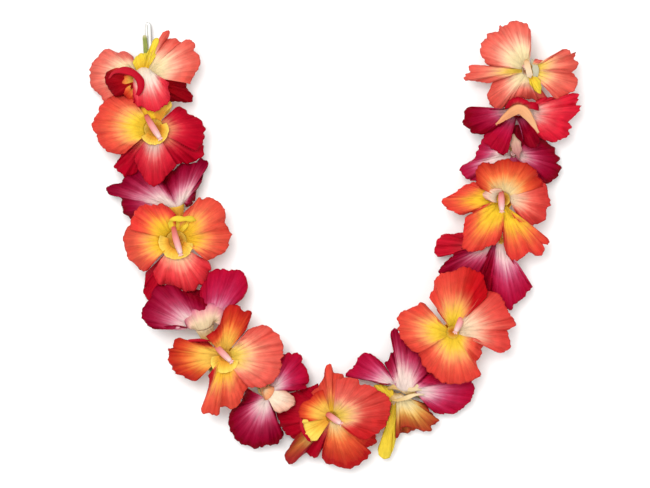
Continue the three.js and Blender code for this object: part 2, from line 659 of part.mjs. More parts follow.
function footSolid(place) {
  const profile = [
    [FOOT_FLAT_RADIUS, 0],
    [FOOT_RADIUS, FOOT_SHOULDER_HEIGHT],
    [TUBE_NECK_RADIUS + FOOT_COLLAR, FOOT_HEIGHT],
  ];
  const rings = profile.map(([radius, z]) => ringAt(place.foot.clone().setZ(z), UP, radius, FOOT_SIDES));
  return solid(loft(rings));
}

function stalkEnds(bloom, place) {
  const { angle, height, side, tip } = bloom.stalk;
  const level = polar(angle, 1);
  const way = new THREE.Vector3(level.x, level.y, 0);
  const aside = new THREE.Vector3(level.y, -level.x, 0);
  const start = FOOT_RADIUS * Math.cos(Math.PI / FOOT_SIDES) - STALK_DEPTH;
  const root = place.foot.clone().setZ(height).addScaledVector(way, start).addScaledVector(aside, side);
  return { root, way, length: tip - start };
}

function stalkRings(ends, radius, gap) {
  const near = ends.root.clone().addScaledVector(ends.way, gap);
  const far = ends.root.clone().addScaledVector(ends.way, ends.length);
  far.addScaledVector(UP, -STALK_DROOP * ends.length);
  return [
    ringAt(near, ends.way, radius, STALK_SIDES),
    ringAt(far, ends.way, radius * STALK_TAPER, STALK_SIDES),
  ];
}

function stalkSocket(ends) {
  const far = ends.root.clone().addScaledVector(ends.way, SOCKET_LENGTH);
  const radius = STALK_RADIUS + STALK_GAP + SOCKET_SPARE;
  return solid(loft([
    ringAt(ends.root, ends.way, radius, STALK_SIDES),
    ringAt(far, ends.way, radius, STALK_SIDES),
  ]));
}

function perianth(bloom, channel) {
  const place = placeOf(bloom);
  const body = footSolid(place);
  const tube = solid(loft(tubeRings(bloom, place, TUBE_START, 0, 0)));
  const hollow = solid(loft(tubeRings(bloom, place, FLOOR_HEIGHT, TUBE_WALL, MOUTH_CUT)));
  let flower = body.add(tube).subtract(hollow);
  bloom.petals.forEach((petal, index) => {
    const face = petalFace(bloom, place, petal, index * PETAL_LIFT);
    flower = flower.add(solid(sheet(face, petalColumns(petal), PETAL_ROWS, PETAL_THICKNESS)));
  });
  flower = flower.subtract(channel);
  flower = flower.subtract(stalkSocket(stalkEnds(bloom, place)));
  return geometryOf(flower);
}

function styleGeometry(bloom) {
  const place = placeOf(bloom);
  const line = tubeLine(place, FLOOR_HEIGHT);
  const tip = bloom.style
    ? new THREE.Vector3(place.centre.x + bloom.style[0], place.centre.y + bloom.style[1], bloom.style[2])
    : line.getPoint(HIDDEN_STYLE_TIP);
  const base = line.getPoint(0).setZ(FLOOR_HEIGHT + STYLE_GAP);
  const turn = line.getPoint(bloom.style ? STYLE_TURN : HIDDEN_STYLE_TURN);
  const path = new THREE.QuadraticBezierCurve3(base, turn, tip);
  const rings = [];
  for (let ring = 0; ring <= STYLE_RINGS; ring += 1) {
    const t = ring / STYLE_RINGS;
    const swell = 1 + STYLE_SWELL * t ** 3;
    const axis = ring === 0 ? UP : path.getTangent(t);
    rings.push(ringAt(path.getPoint(t), axis, STYLE_RADIUS * swell, STYLE_SIDES));
  }
  return loft(rings);
}

function stalkGeometry(bloom) {
  return loft(stalkRings(stalkEnds(bloom, placeOf(bloom)), STALK_RADIUS, STALK_GAP));
}

// The whole lei

function piece(name, geometry, finish) {
  const mesh = new THREE.Mesh(geometry, new THREE.MeshStandardMaterial({ ...finish, metalness: 0 }));
  mesh.name = name;
  return mesh;
}

const lei = new THREE.Group();
const curve = cordCurve();
const channel = solid(cordSolid(curve, CORD_RADIUS + HOLE_CLEARANCE));
BLOOMS.forEach((bloom, index) => {
  const number = String(index + 1).padStart(2, '0');
  lei.add(piece(`floret_${number}`, perianth(bloom, channel), bloom.finish));
  lei.add(piece(`style_${number}`, styleGeometry(bloom), STYLE_PINK));
  lei.add(piece(`stalk_${number}`, stalkGeometry(bloom), STALK_GREEN));
});
lei.add(piece('string', cordSolid(curve, CORD_RADIUS), CORD_WHITE));

export default lei;
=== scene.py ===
"""Dresses a fresh flower lei: ruffled blooms with their styles and stalk ends, on a white cord.

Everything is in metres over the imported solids, in their frame: the lei lies on z = 0 with the
opening of its U toward +Y. Sizes in the classes and tables below are in millimetres, and are
turned to metres where a mesh is made.
"""

import logging
import math
from dataclasses import dataclass, field
from enum import Enum
from functools import cache

import bmesh
import bpy
import numpy as np
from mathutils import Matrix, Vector


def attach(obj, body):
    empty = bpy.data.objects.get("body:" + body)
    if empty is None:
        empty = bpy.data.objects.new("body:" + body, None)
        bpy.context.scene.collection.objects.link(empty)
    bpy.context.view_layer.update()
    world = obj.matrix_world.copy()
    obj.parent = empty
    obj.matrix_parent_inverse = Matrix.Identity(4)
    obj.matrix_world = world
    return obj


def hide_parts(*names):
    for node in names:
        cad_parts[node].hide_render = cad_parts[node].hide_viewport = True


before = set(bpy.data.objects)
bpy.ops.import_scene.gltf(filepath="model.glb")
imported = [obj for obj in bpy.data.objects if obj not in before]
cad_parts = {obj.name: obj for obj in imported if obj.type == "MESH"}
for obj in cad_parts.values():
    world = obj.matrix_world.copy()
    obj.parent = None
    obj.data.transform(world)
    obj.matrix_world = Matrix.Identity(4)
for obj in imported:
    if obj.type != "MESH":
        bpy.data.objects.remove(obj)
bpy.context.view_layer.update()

log = logging.getLogger("lei")

Pair = tuple[float, float]
Place = tuple[float, float, float]
Tree = bpy.types.NodeTree
Node = bpy.types.Node
Socket = bpy.types.NodeSocket
Material = bpy.types.Material
Piece = bpy.types.Object
Array = np.ndarray

MM = 0.001
FULL_TURN = 2 * math.pi
BODY = "root"

# How high each pattern stands, in millimetres
CREASE_RELIEF = 1.6
VEIN_RELIEF = 0.35
STALK_RELIEF = 0.15
CORD_RELIEF = 0.12
# The spacing of the sheet's tooth
TABLE_TOOTH = 0.6
# The way round the cord, which its fibre pattern and its painted shade are read by
CORD_GIRTH = 11.3

# How far past the heart's colour the blush and the blade lie, and where the rim lies, as shares
BLUSH_AT = 0.2
BLADE_AT = 0.4
RIM_AT = 0.98
# How far past the heart's colour a flank starts to turn to its second colour, and where it has
FLANK_FROM = 0.1
FLANK_TO = 0.5

# The sockets of a colour mix node, which has others of the same names
MIX_SHARE = 0
MIX_FIRST = 6
MIX_SECOND = 7
MIX_COLOR = 2


# Colour and node helpers


def linear(code: str) -> tuple[float, float, float, float]:
    """Turns an sRGB hex colour to linear light.

    Args:
        code: The colour, such as "#ea5b47".

    Returns:
        Red, green and blue in linear light, and an alpha of 1.
    """
    parts = [int(code[place : place + 2], 16) / 255 for place in (1, 3, 5)]
    red, green, blue = (
        part / 12.92 if part <= 0.04045 else ((part + 0.055) / 1.055) ** 2.4 for part in parts
    )
    return red, green, blue, 1.0


def add_node(tree: Tree, kind: str, settings: dict | None = None, inputs: dict | None = None) -> Node:
    """Adds one node, with its settings and what goes into it.

    Args:
        tree: The material's node tree.
        kind: The node's type, such as "ShaderNodeMath".
        settings: The node's own settings, by name.
        inputs: What each input socket gets, by name or number: a value, or a socket to link.

    Returns:
        The new node.
    """
    node = tree.nodes.new(kind)
    for name, value in (settings or {}).items():
        setattr(node, name, value)
    for name, value in (inputs or {}).items():
        if isinstance(value, Socket):
            tree.links.new(value, node.inputs[name])
        else:
            node.inputs[name].default_value = value
    return node


def reading(tree: Tree, layer: str, axis: str) -> Socket:
    """Reads what a mesh says of its tissue at each point.

    Args:
        tree: The material's node tree.
        layer: The reading's layer, such as "tone".
        axis: The layer's axis, "X" or "Y".

    Returns:
        The socket with the values.
    """
    readings = add_node(tree, "ShaderNodeUVMap", {"uv_map": layer})
    parts = add_node(tree, "ShaderNodeSeparateXYZ", None, {0: readings.outputs[0]})
    return parts.outputs[axis]


def fill_ramp(node: Node, stops: list[tuple[float, str]]) -> None:
    """Sets the stops of a colour ramp, and lets them run smoothly into each other.

    Args:
        node: The ramp node.
        stops: Each stop's place from 0 to 1 and its hex colour, in order.
    """
    ramp = node.color_ramp
    ramp.interpolation = "B_SPLINE"
    for element, (place, code) in zip(ramp.elements, (stops[0], stops[-1])):
        element.position = place
        element.color = linear(code)
    for place, code in stops[1:-1]:
        ramp.elements.new(place).color = linear(code)


@dataclass(frozen=True)
class Grain:
    """Noise drawn out along a piece, as its fibres, veins and streaks are.

    Attributes:
        pitch: Its spacing across the piece, in millimetres.
        length: How far a streak runs, in millimetres.
        detail: How many finer layers it has.
        roughness: How strong those layers are.
    """

    pitch: float
    length: float
    detail: float = 3.0
    roughness: float = 0.6

    def add(self, tree: Tree) -> Socket:
        """Adds the noise to a material.

        Args:
            tree: The material's node tree.

        Returns:
            The socket with the noise, from 0 to 1.
        """
        span = add_node(tree, "ShaderNodeUVMap", {"uv_map": "span"})
        drawn = add_node(
            tree, "ShaderNodeMapping", None,
            {"Vector": span.outputs[0], "Scale": (1 / self.pitch, 1 / self.length, 1.0)},
        )
        noise = add_node(
            tree, "ShaderNodeTexNoise", {"noise_dimensions": "2D"},
            {"Vector": drawn.outputs[0], "Scale": 1.0, "Detail": self.detail,
             "Roughness": self.roughness},
        )
        return noise.outputs[0]


# Real veins lie about 0.8 mm apart, too fine to show here, so they are drawn wider apart. The
# heart's colour runs out along every few veins together, soft creases fan out between the veins,
# and the colour is deeper in some patches than in others.
VEINS = Grain(1.3, 26.0)
STREAKS = Grain(3.6, 30.0)
CREASES = Grain(3.2, 30.0)
PATCHES = Grain(11.0, 11.0)
STALK_RIBS = Grain(0.6, 12.0, 2.0, 0.5)
# The cord's filaments are about 0.02 mm thick, too fine to show, so bundles of them are drawn
CORD_BUNDLES = Grain(0.5, 9.0, 2.0, 0.5)


# Finishes


@dataclass(frozen=True)
class Finish:
    """What a piece is made of.

    Attributes:
        name: The material's name.
    """

    name: str

    def build(self) -> Material:
        """Builds the finish's node material.

        Returns:
            The material.
        """
        material = bpy.data.materials.new(self.name)
        material.use_nodes = True
        tree = material.node_tree
        tree.nodes.clear()
        shader = self.shader(tree)
        add_node(tree, "ShaderNodeOutputMaterial", None, {"Surface": shader.outputs[0]})
        return material

    def shader(self, tree: Tree) -> Node:
        """Adds the nodes of the finish.

        Args:
            tree: The material's node tree.

        Returns:
            The shader node that comes last.
        """
        raise NotImplementedError


@dataclass(frozen=True)
class PetalTissue(Finish):
    """Fresh petal tissue: thin, moist and slightly velvety, so light shows through it.

    Fine veins fan out from the root, and the heart's colour runs out between them in feathery
    streaks before it gives way to the blade's colour. The eye reads a soft satin skin that glows
    where it is lit from behind and darkens in its folds.

    Attributes:
        heart: The colour at the root.
        blush: The colour where the heart gives way.
        blade: The colour of most of the petal.
        rim: The colour of the ruffled edge.
        flank: The colour that one side of a petal may turn to.
        shade: The deep colour that shaded tissue is multiplied by.
        melt: How far out the heart's colour reaches, as a share of the petal's length.
        fade: How much less far it reaches at the petal's sides than down its middle.
        glow: The share of the light that passes through.
        satin: The skin's middle roughness.
    """

    heart: str
    blush: str
    blade: str
    rim: str
    flank: str
    shade: str = "#9a2a2a"
    melt: float = 0.22
    fade: float = 0.1
    glow: float = 0.2
    satin: float = 0.5

    def shader(self, tree: Tree) -> Node:
        """Adds the tissue's nodes.

        Args:
            tree: The material's node tree.

        Returns:
            The shader node that comes last.
        """
        veins = VEINS.add(tree)
        color = self.color(tree, veins)
        skin = add_node(
            tree, "ShaderNodeMapRange", None,
            {"Value": veins, "To Min": self.satin + 0.10, "To Max": self.satin - 0.10},
        )
        furrows = add_node(
            tree, "ShaderNodeBump", None,
            {"Strength": 0.8, "Distance": CREASE_RELIEF * MM, "Height": CREASES.add(tree)},
        )
        relief = add_node(
            tree, "ShaderNodeBump", None,
            {"Strength": 0.35, "Distance": VEIN_RELIEF * MM, "Height": veins,
             "Normal": furrows.outputs[0]},
        )
        surface = add_node(
            tree, "ShaderNodeBsdfPrincipled", None,
            {"Base Color": color, "Roughness": skin.outputs["Result"], "Normal": relief.outputs[0],
             "IOR": 1.36, "Specular IOR Level": 0.06},
        )
        through = add_node(
            tree, "ShaderNodeBsdfTranslucent", None, {"Color": color, "Normal": relief.outputs[0]}
        )
        return add_node(
            tree, "ShaderNodeMixShader", None, {0: self.glow, 1: surface.outputs[0], 2: through.outputs[0]}
        )

    def color(self, tree: Tree, veins: Socket) -> Socket:
        """Adds the tissue's colour, which its veins, patches and shade deepen.

        Args:
            tree: The material's node tree.
            veins: The veins' noise.

        Returns:
            The socket with the colour.
        """
        wander = add_node(
            tree, "ShaderNodeMapRange", None,
            {"Value": STREAKS.add(tree), "From Min": 0.3, "From Max": 0.7,
             "To Min": -0.05, "To Max": 0.05},
        )
        shifted = add_node(
            tree, "ShaderNodeMath", {"operation": "ADD"},
            {0: reading(tree, "petal", "Y"), 1: wander.outputs["Result"]},
        )
        reached = add_node(
            tree, "ShaderNodeMath", {"operation": "SUBTRACT"},
            {0: shifted.outputs[0], 1: reading(tree, "tone", "X")},
        )
        ramp = add_node(tree, "ShaderNodeValToRGB", None, {0: reached.outputs[0]})
        fill_ramp(ramp, [
            (0.0, self.heart),
            (self.melt, self.heart),
            (self.melt + BLUSH_AT, self.blush),
            (self.melt + BLADE_AT, self.blade),
            (RIM_AT, self.rim),
        ])
        turned = self.flanked(tree, ramp.outputs["Color"], reached.outputs[0])
        veined = add_node(
            tree, "ShaderNodeMapRange", None,
            {"Value": veins, "From Min": 0.32, "From Max": 0.68, "To Min": 0.9, "To Max": 1.04},
        )
        patched = add_node(
            tree, "ShaderNodeMapRange", None,
            {"Value": PATCHES.add(tree), "From Min": 0.3, "From Max": 0.7,
             "To Min": 0.88, "To Max": 1.06},
        )
        toned = add_node(
            tree, "ShaderNodeMath", {"operation": "MULTIPLY"},
            {0: veined.outputs["Result"], 1: patched.outputs["Result"]},
        )
        lined = add_node(
            tree, "ShaderNodeMix", {"data_type": "RGBA", "blend_type": "MULTIPLY"},
            {MIX_SHARE: 1.0, MIX_FIRST: turned, MIX_SECOND: toned.outputs[0]},
        )
        shaded = add_node(
            tree, "ShaderNodeMix", {"data_type": "RGBA", "blend_type": "MULTIPLY"},
            {MIX_SHARE: reading(tree, "tone", "Y"), MIX_FIRST: lined.outputs[MIX_COLOR],
             MIX_SECOND: linear(self.shade)},
        )
        return shaded.outputs[MIX_COLOR]

    def flanked(self, tree: Tree, base: Socket, reached: Socket) -> Socket:
        """Turns a flank of the petal to its second colour, away from the heart.

        Args:
            tree: The material's node tree.
            base: The petal's colour.
            reached: How far out the point is, with the streaks' wander.

        Returns:
            The socket with the colour.
        """
        away = add_node(
            tree, "ShaderNodeMapRange", {"interpolation_type": "SMOOTHSTEP"},
            {"Value": reached, "From Min": self.melt + FLANK_FROM,
             "From Max": self.melt + FLANK_TO},
        )
        share = add_node(
            tree, "ShaderNodeMath", {"operation": "MULTIPLY", "use_clamp": True},
            {0: reading(tree, "flank", "X"), 1: away.outputs["Result"]},
        )
        mixed = add_node(
            tree, "ShaderNodeMix", {"data_type": "RGBA"},
            {MIX_SHARE: share.outputs[0], MIX_FIRST: base, MIX_SECOND: linear(self.flank)},
        )
        return mixed.outputs[MIX_COLOR]


@dataclass(frozen=True)
class StalkSkin(Finish):
    """A fresh green flower stalk, picked short: smooth skin over long fibres, dull with wax.

    The eye reads fine light and dark lines along the stalk, and a paler, drier end.

    Attributes:
        light: The colour of the skin between its ribs.
        dark: The colour of the ribs.
        end: The colour of the picked end.
    """

    name: str = "stalk_skin"
    light: str = "#9aa544"
    dark: str = "#5f7228"
    end: str = "#b9b184"

    def shader(self, tree: Tree) -> Node:
        """Adds the stalk's nodes.

        Args:
            tree: The material's node tree.

        Returns:
            The shader node that comes last.
        """
        ribs = STALK_RIBS.add(tree)
        skin = add_node(tree, "ShaderNodeValToRGB", None, {0: ribs})
        fill_ramp(skin, [(0.35, self.dark), (0.65, self.light)])
        near_end = add_node(
            tree, "ShaderNodeMapRange", {"interpolation_type": "SMOOTHSTEP"},
            {"Value": reading(tree, "petal", "Y"), "From Min": 0.86, "From Max": 1.0},
        )
        color = add_node(
            tree, "ShaderNodeMix", {"data_type": "RGBA"},
            {MIX_SHARE: near_end.outputs["Result"], MIX_FIRST: skin.outputs["Color"],
             MIX_SECOND: linear(self.end)},
        )
        rough = add_node(tree, "ShaderNodeMapRange", None, {"Value": ribs, "To Min": 0.62, "To Max": 0.42})
        relief = add_node(
            tree, "ShaderNodeBump", None, {"Strength": 0.5, "Distance": STALK_RELIEF * MM, "Height": ribs}
        )
        return add_node(
            tree, "ShaderNodeBsdfPrincipled", None,
            {"Base Color": color.outputs[MIX_COLOR], "Roughness": rough.outputs["Result"],
             "Normal": relief.outputs[0], "IOR": 1.42},
        )


@dataclass(frozen=True)
class CordFibre(Finish):
    """White polyester stringing cord: smooth filaments laid side by side and heat set.

    The eye reads a clean white line on top, greyer flanks and a low sheen. The grey of the flanks is painted
    shade: the colour darkens from the top round to the sides, as a round cord darkens under light from
    above.

    Attributes:
        crown: The colour along its top, the lit side of the painted shade.
        flank: The painted shade colour of its sides.
    """

    name: str = "cord_fibre"
    crown: str = "#f6f6f3"
    flank: str = "#8d928c"

    def shader(self, tree: Tree) -> Node:
        """Adds the cord's nodes.

        Args:
            tree: The material's node tree.

        Returns:
            The shader node that comes last.
        """
        fibres = CORD_BUNDLES.add(tree)
        # Painted shade: the colour goes from the white crown on top to grey flanks at the sides, by the
        # angle round the cord
        angle = add_node(
            tree, "ShaderNodeMath", {"operation": "MULTIPLY"},
            {0: reading(tree, "span", "X"), 1: FULL_TURN / CORD_GIRTH},
        )
        height = add_node(tree, "ShaderNodeMath", {"operation": "SINE"}, {0: angle.outputs[0]})
        uneven = add_node(
            tree, "ShaderNodeMapRange", None, {"Value": fibres, "To Min": -0.15, "To Max": 0.15}
        )
        painted_shade_round = add_node(
            tree, "ShaderNodeMath", {"operation": "ADD"}, {0: height.outputs[0], 1: uneven.outputs["Result"]}
        )
        color = add_node(tree, "ShaderNodeValToRGB", None, {0: painted_shade_round.outputs[0]})
        fill_ramp(color, [(0.6, self.flank), (0.95, self.crown)])
        rough = add_node(tree, "ShaderNodeMapRange", None, {"Value": fibres, "To Min": 0.34, "To Max": 0.56})
        relief = add_node(
            tree, "ShaderNodeBump", None, {"Strength": 0.4, "Distance": CORD_RELIEF * MM, "Height": fibres}
        )
        return add_node(
            tree, "ShaderNodeBsdfPrincipled", None,
            {"Base Color": color.outputs["Color"], "Roughness": rough.outputs["Result"],
             "Normal": relief.outputs[0], "IOR": 1.5, "Sheen Weight": 0.1},
        )


@dataclass(frozen=True)
class TableTop(Finish):
    """A plain matt white sheet under the lei, with a fine, even tooth.

    Attributes:
        color: The sheet's colour.
    """

    name: str = "table_top"
    color: str = "#f7f7f6"

    def shader(self, tree: Tree) -> Node:
        """Adds the sheet's nodes.

        Args:
            tree: The material's node tree.

        Returns:
            The shader node that comes last.
        """
        where = add_node(tree, "ShaderNodeTexCoord")
        tooth = add_node(
            tree, "ShaderNodeTexNoise", None,
            {"Vector": where.outputs["Object"], "Scale": 1 / (TABLE_TOOTH * MM)},
        )
        rough = add_node(
            tree, "ShaderNodeMapRange", None, {"Value": tooth.outputs[0], "To Min": 0.85, "To Max": 0.95}
        )
        return add_node(
            tree, "ShaderNodeBsdfPrincipled", None,
            {"Base Color": linear(self.color), "Roughness": rough.outputs["Result"],
             "Specular IOR Level": 0.2},
        )


class Tissue(Enum):
    """The kinds of petal tissue that the blooms show."""

    CORAL_CREAM = PetalTissue(
        "coral_cream_petal", "#fceab6", "#f8bd9f", "#f07262", "#e25548", "#c90f1c", melt=0.24)
    CORAL_GOLD = PetalTissue(
        "coral_gold_petal", "#fcca34", "#f8a25c", "#eb5c47", "#de4838", "#c81424", melt=0.24)
    CORAL_SUN = PetalTissue(
        "coral_sun_petal", "#fedb58", "#fbc496", "#f07262", "#e25549", "#c90f1c", melt=0.18)
    GOLD_CORAL = PetalTissue(
        "gold_coral_petal", "#fbd034", "#fabf3c", "#f06444", "#e63f36", "#c8160f", melt=0.32)
    CORAL_DEEP = PetalTissue(
        "coral_deep_petal", "#fed63c", "#f9ab6c", "#ec5441", "#dd3d34", "#c50d18", melt=0.18)
    DEEP_CREAM = PetalTissue(
        "deep_cream_petal", "#fbe0bc", "#f6ae90", "#e9564a", "#d83a36", "#c50d18", melt=0.2)
    EMBER = PetalTissue(
        "ember_petal", "#fbe2a6", "#f6ac5c", "#ec5c36", "#be1a1a", "#a0061a", melt=0.16)
    FLAME = PetalTissue(
        "flame_petal", "#fac855", "#f08a40", "#dc4026", "#b41018", "#a0061a", melt=0.26)
    SCARLET = PetalTissue(
        "scarlet_petal", "#fdeedd", "#f6908a", "#ea3042", "#da1a34", "#a4021e", melt=0.2,
        fade=0.16)
    FLUSH = PetalTissue(
        "flush_petal", "#fcd4a8", "#f9907c", "#f4484c", "#ea2a3a", "#a4021e", melt=0.2)
    CRIMSON = PetalTissue(
        "crimson_petal", "#f8a878", "#e0434c", "#c20526", "#b00320", "#8a0120", melt=0.12)
    # Dark red, partly the tissue's own colour and partly deepened as painted shade for crimson that lies in
    # hollows and in shade
    BLOOD_AND_SHADE = PetalTissue(
        "blood_and_shade_petal", "#d0401c", "#b2140f", "#a00412", "#8a0212", "#d5372a", melt=0.08)
    MAGENTA = PetalTissue(
        "magenta_petal", "#fbe6dc", "#dc7a98", "#b00440", "#820018", "#700012", melt=0.22,
        fade=0.26)
    ROSE_WINE = PetalTissue(
        "rose_wine_petal", "#fae2d6", "#d8658a", "#b2043c", "#880018", "#6c0012", melt=0.18,
        fade=0.2)
    RUBY = PetalTissue(
        "ruby_petal", "#fbe2dc", "#de6e96", "#be0c46", "#b4082c", "#8a0120", melt=0.18,
        fade=0.2)
    # Wine red, partly the tissue's own colour and partly deepened as painted shade for petals that lie under
    # and between others
    WINE_AND_SHADE = PetalTissue(
        "wine_and_shade_petal", "#d0527a", "#a00634", "#98021e", "#88001a", "#d2608a", melt=0.06)
    BUTTER = PetalTissue(
        "butter_petal", "#fbd03a", "#fbdc4c", "#f8d63c", "#e8cf44", "#f3e48c", melt=0.2)
    CUP = PetalTissue(
        "cup_petal", "#f0a93a", "#f3ba42", "#f7cb4c", "#fbdb66", "#f3e48c", melt=0.2)
    OCHRE = PetalTissue(
        "ochre_petal", "#f8e4ac", "#ecc062", "#cc7434", "#ac2c22", "#a3242a", melt=0.28)
    CREAM = PetalTissue(
        "cream_petal", "#fae8cc", "#f8dcc4", "#f3cdb2", "#eeb098", "#e7b25c", melt=0.3)
    BLUSH_CREAM = PetalTissue(
        "blush_cream_petal", "#f3dcb0", "#f0cdb0", "#e6a8a0", "#cf6a86", "#c84a70", melt=0.3)
    TAN = PetalTissue(
        "tan_petal", "#f6cfa4", "#f4c292", "#f0ae78", "#e8946a", "#c9563a", melt=0.2)
    # Pale cream greyed as painted shade, for a translucent fold that lies in shade
    VEIL_AND_SHADE = PetalTissue(
        "veil_and_shade_petal", "#f3ecd2", "#d9d3b6", "#c4bfa2", "#dcd6bc", "#c4bfa2", melt=0.1)
    THROAT = PetalTissue(
        "throat_tissue", "#f2a040", "#fbba48", "#ffd450", "#ffe268", "#f3b26b", melt=0.3,
        glow=0.3)
    PALE_THROAT = PetalTissue(
        "pale_throat_tissue", "#e09a60", "#f5c48c", "#fbe0b8", "#fff0d8", "#f2a48a", melt=0.2,
        glow=0.3)
    BELL = PetalTissue(
        "bell_tissue", "#dca84c", "#ecc272", "#f4d8a0", "#f8e6c8", "#e9a4a6", melt=0.24,
        glow=0.2)
    STYLE = PetalTissue(
        "style_tissue", "#dd5f4a", "#ec8a84", "#f2aca8", "#f8dcd4", "#f9dbd0", melt=0.45,
        glow=0.2, satin=0.42)
    FOOT = PetalTissue(
        "foot_tissue", "#b7ae5e", "#d2be6e", "#f0d684", "#fbe08c", "#9aa04c", melt=0.26,
        glow=0.06)


@cache
def material_of(finish: Finish) -> Material:
    """Builds a finish when a piece first asks for it, and hands the same one out again."""
    return finish.build()


# Shape helpers

# Where less of a tube's way is level than this share, it takes its sideways direction from the rest
NEARLY_UPRIGHT = 0.2
WELD_REACH = 0.01


def polar(angle: Array | float, reach: Array | float) -> Array:
    """Turns angles and reaches to plan points.

    Args:
        angle: Angles in degrees.
        reach: Distances from the middle.

    Returns:
        The points, with x and y in the last axis.
    """
    turn = np.radians(angle)
    return np.stack([reach * np.cos(turn), reach * np.sin(turn)], axis=-1)


def ease(values: Array | float, low: float, high: float) -> Array:
    """Goes smoothly from 0 at low to 1 at high.

    Args:
        values: The values to read.
        low: Where the rise starts.
        high: Where it ends, which may be below low.

    Returns:
        The eased shares.
    """
    share = np.clip((np.asarray(values, float) - low) / (high - low), 0, 1)
    return share * share * (3 - 2 * share)


def along_curve(points: Array, shares: Array, steps: int = 40) -> Array:
    """Reads a centripetal Catmull-Rom curve at shares of its length.

    Args:
        points: The curve's points, one to a row.
        shares: Shares of its length, from 0 to 1.
        steps: How many short chords stand for each stretch.

    Returns:
        The places, one to a row.
    """
    ends = np.vstack([2 * points[0] - points[1], points, 2 * points[-1] - points[-2]])
    dense = [points[0][None]]
    for first in range(len(points) - 1):
        a, b, c, d = ends[first : first + 4]
        gaps = [np.linalg.norm(q - p) ** 0.5 for p, q in ((a, b), (b, c), (c, d))]
        knots = np.cumsum([0.0, *gaps])
        t = np.linspace(knots[1], knots[2], steps + 1)[1:, None]

        def between(p: Array, q: Array, low: float, high: float) -> Array:
            """Blends two places by where t lies between two knots."""
            return ((high - t) * p + (t - low) * q) / (high - low)

        ab = between(a, b, knots[0], knots[1])
        bc = between(b, c, knots[1], knots[2])
        cd = between(c, d, knots[2], knots[3])
        left = between(ab, bc, knots[0], knots[2])
        right = between(bc, cd, knots[1], knots[3])
        dense.append(between(left, right, knots[1], knots[2]))
    line = np.vstack(dense)
    length = np.concatenate([[0], np.cumsum(np.linalg.norm(np.diff(line, axis=0), axis=1))])
    at = np.asarray(shares, float) * length[-1]
    return np.stack([np.interp(at, length, line[:, axis]) for axis in range(line.shape[1])], axis=1)


def line_length(line: Array) -> float:
    """Measures a line of points."""
    return float(np.linalg.norm(np.diff(line, axis=0), axis=1).sum())


class Wander:
    """A smooth, seeded, wandering line that stays between about -1 and 1.

    Attributes:
        WAVES: How many waves make the line.
        PITCHES: The shortest and longest of their lengths, as shares of the usual one.
        SIZES: The lowest and highest of them, beside each other.
        FULLNESS: The share of their summed heights that counts as 1, as crests seldom all meet.
    """

    WAVES = 5
    PITCHES = (0.7, 1.7)
    SIZES = (0.5, 1.0)
    FULLNESS = 0.6

    def __init__(self, seed: int, pitch: float) -> None:
        """Draws the line's waves.

        Args:
            seed: What makes this line differ from others.
            pitch: The usual distance from crest to crest.
        """
        draw = np.random.default_rng(seed)
        self.rates = FULL_TURN / (pitch * draw.uniform(*self.PITCHES, self.WAVES))
        self.phases = draw.uniform(0, FULL_TURN, self.WAVES)
        self.sizes = draw.uniform(*self.SIZES, self.WAVES)
        self.sizes /= self.sizes.sum() * self.FULLNESS

    def at(self, values: Array) -> Array:
        """Reads the line.

        Args:
            values: Places along it.

        Returns:
            Its heights there.
        """
        angles = np.asarray(values, float)[..., None] * self.rates + self.phases
        return (np.sin(angles) * self.sizes).sum(-1)


def turned(reach: Array | float, height: Array | float, turn: Array) -> Array:
    """Turns a profile round an upright line.

    Args:
        reach: The profile's distances from the line: one number, or a column of them.
        height: Its heights, in the same way.
        turn: The angles, in radians.

    Returns:
        The points, with x, y and z in the last axis.
    """
    parts = np.broadcast_arrays(reach * np.cos(turn), reach * np.sin(turn), height)
    return np.stack(parts, axis=-1)


def tilt_to(axis: Array) -> Array:
    """Finds the smallest turn that takes straight up to an axis.

    Args:
        axis: A unit vector.

    Returns:
        The turn as a 3 by 3 matrix.
    """
    turn = Vector((0, 0, 1)).rotation_difference(Vector(axis))
    return np.array(turn.to_matrix())


def bezier(points: list[Array], t: Array) -> Array:
    """Reads a Bezier curve of any degree.

    Args:
        points: Its control points.
        t: Where to read it, from 0 to 1.

    Returns:
        The places, one to a row.
    """
    degree = len(points) - 1
    place = np.zeros((len(t), len(points[0])))
    for index, point in enumerate(points):
        weight = math.comb(degree, index) * t**index * (1 - t) ** (degree - index)
        place += weight[:, None] * np.asarray(point, float)
    return place


def sweep(line: Array, wide: Array, thick: Array, sides: int) -> Array:
    """Sweeps an oval section along a line without twisting it, as a tube.

    Args:
        line: The middle line's points, in order.
        wide: The section's half width at each point, held level.
        thick: The section's half thickness at each point.
        sides: How many points make a section.

    Returns:
        The rings of points, by station, side and axis, with each ring's first point also last.
    """
    way = np.gradient(line, axis=0)
    way /= np.linalg.norm(way, axis=1)[:, None]
    aside = np.cross(way, [0.0, 0.0, 1.0])
    weak = np.linalg.norm(aside, axis=1) < NEARLY_UPRIGHT
    if weak.any():
        steady = aside[~weak].mean(0) if (~weak).any() else np.array([1.0, 0.0, 0.0])
        aside[weak] = steady - way[weak] * (way[weak] @ steady)[:, None]
    aside /= np.linalg.norm(aside, axis=1)[:, None]
    over = np.cross(aside, way)
    turn = np.linspace(0, FULL_TURN, sides, endpoint=False)
    rings = (
        line[:, None]
        + aside[:, None] * (wide[:, None] * np.cos(turn))[..., None]
        + over[:, None] * (thick[:, None] * np.sin(turn))[..., None]
    )
    return np.concatenate([rings, rings[:, :1]], axis=1)


@dataclass
class Skin:
    """What the patterns read at each point of a grid.

    Attributes:
        petal: Where a point lies: across and out, each from 0 to 1.
        span: The same in millimetres.
        tone: How much further the heart's colour reaches, and how shaded the tissue is.
        flank: How far the tissue has turned to its second colour.
    """

    petal: Array
    span: Array
    tone: Array
    flank: Array


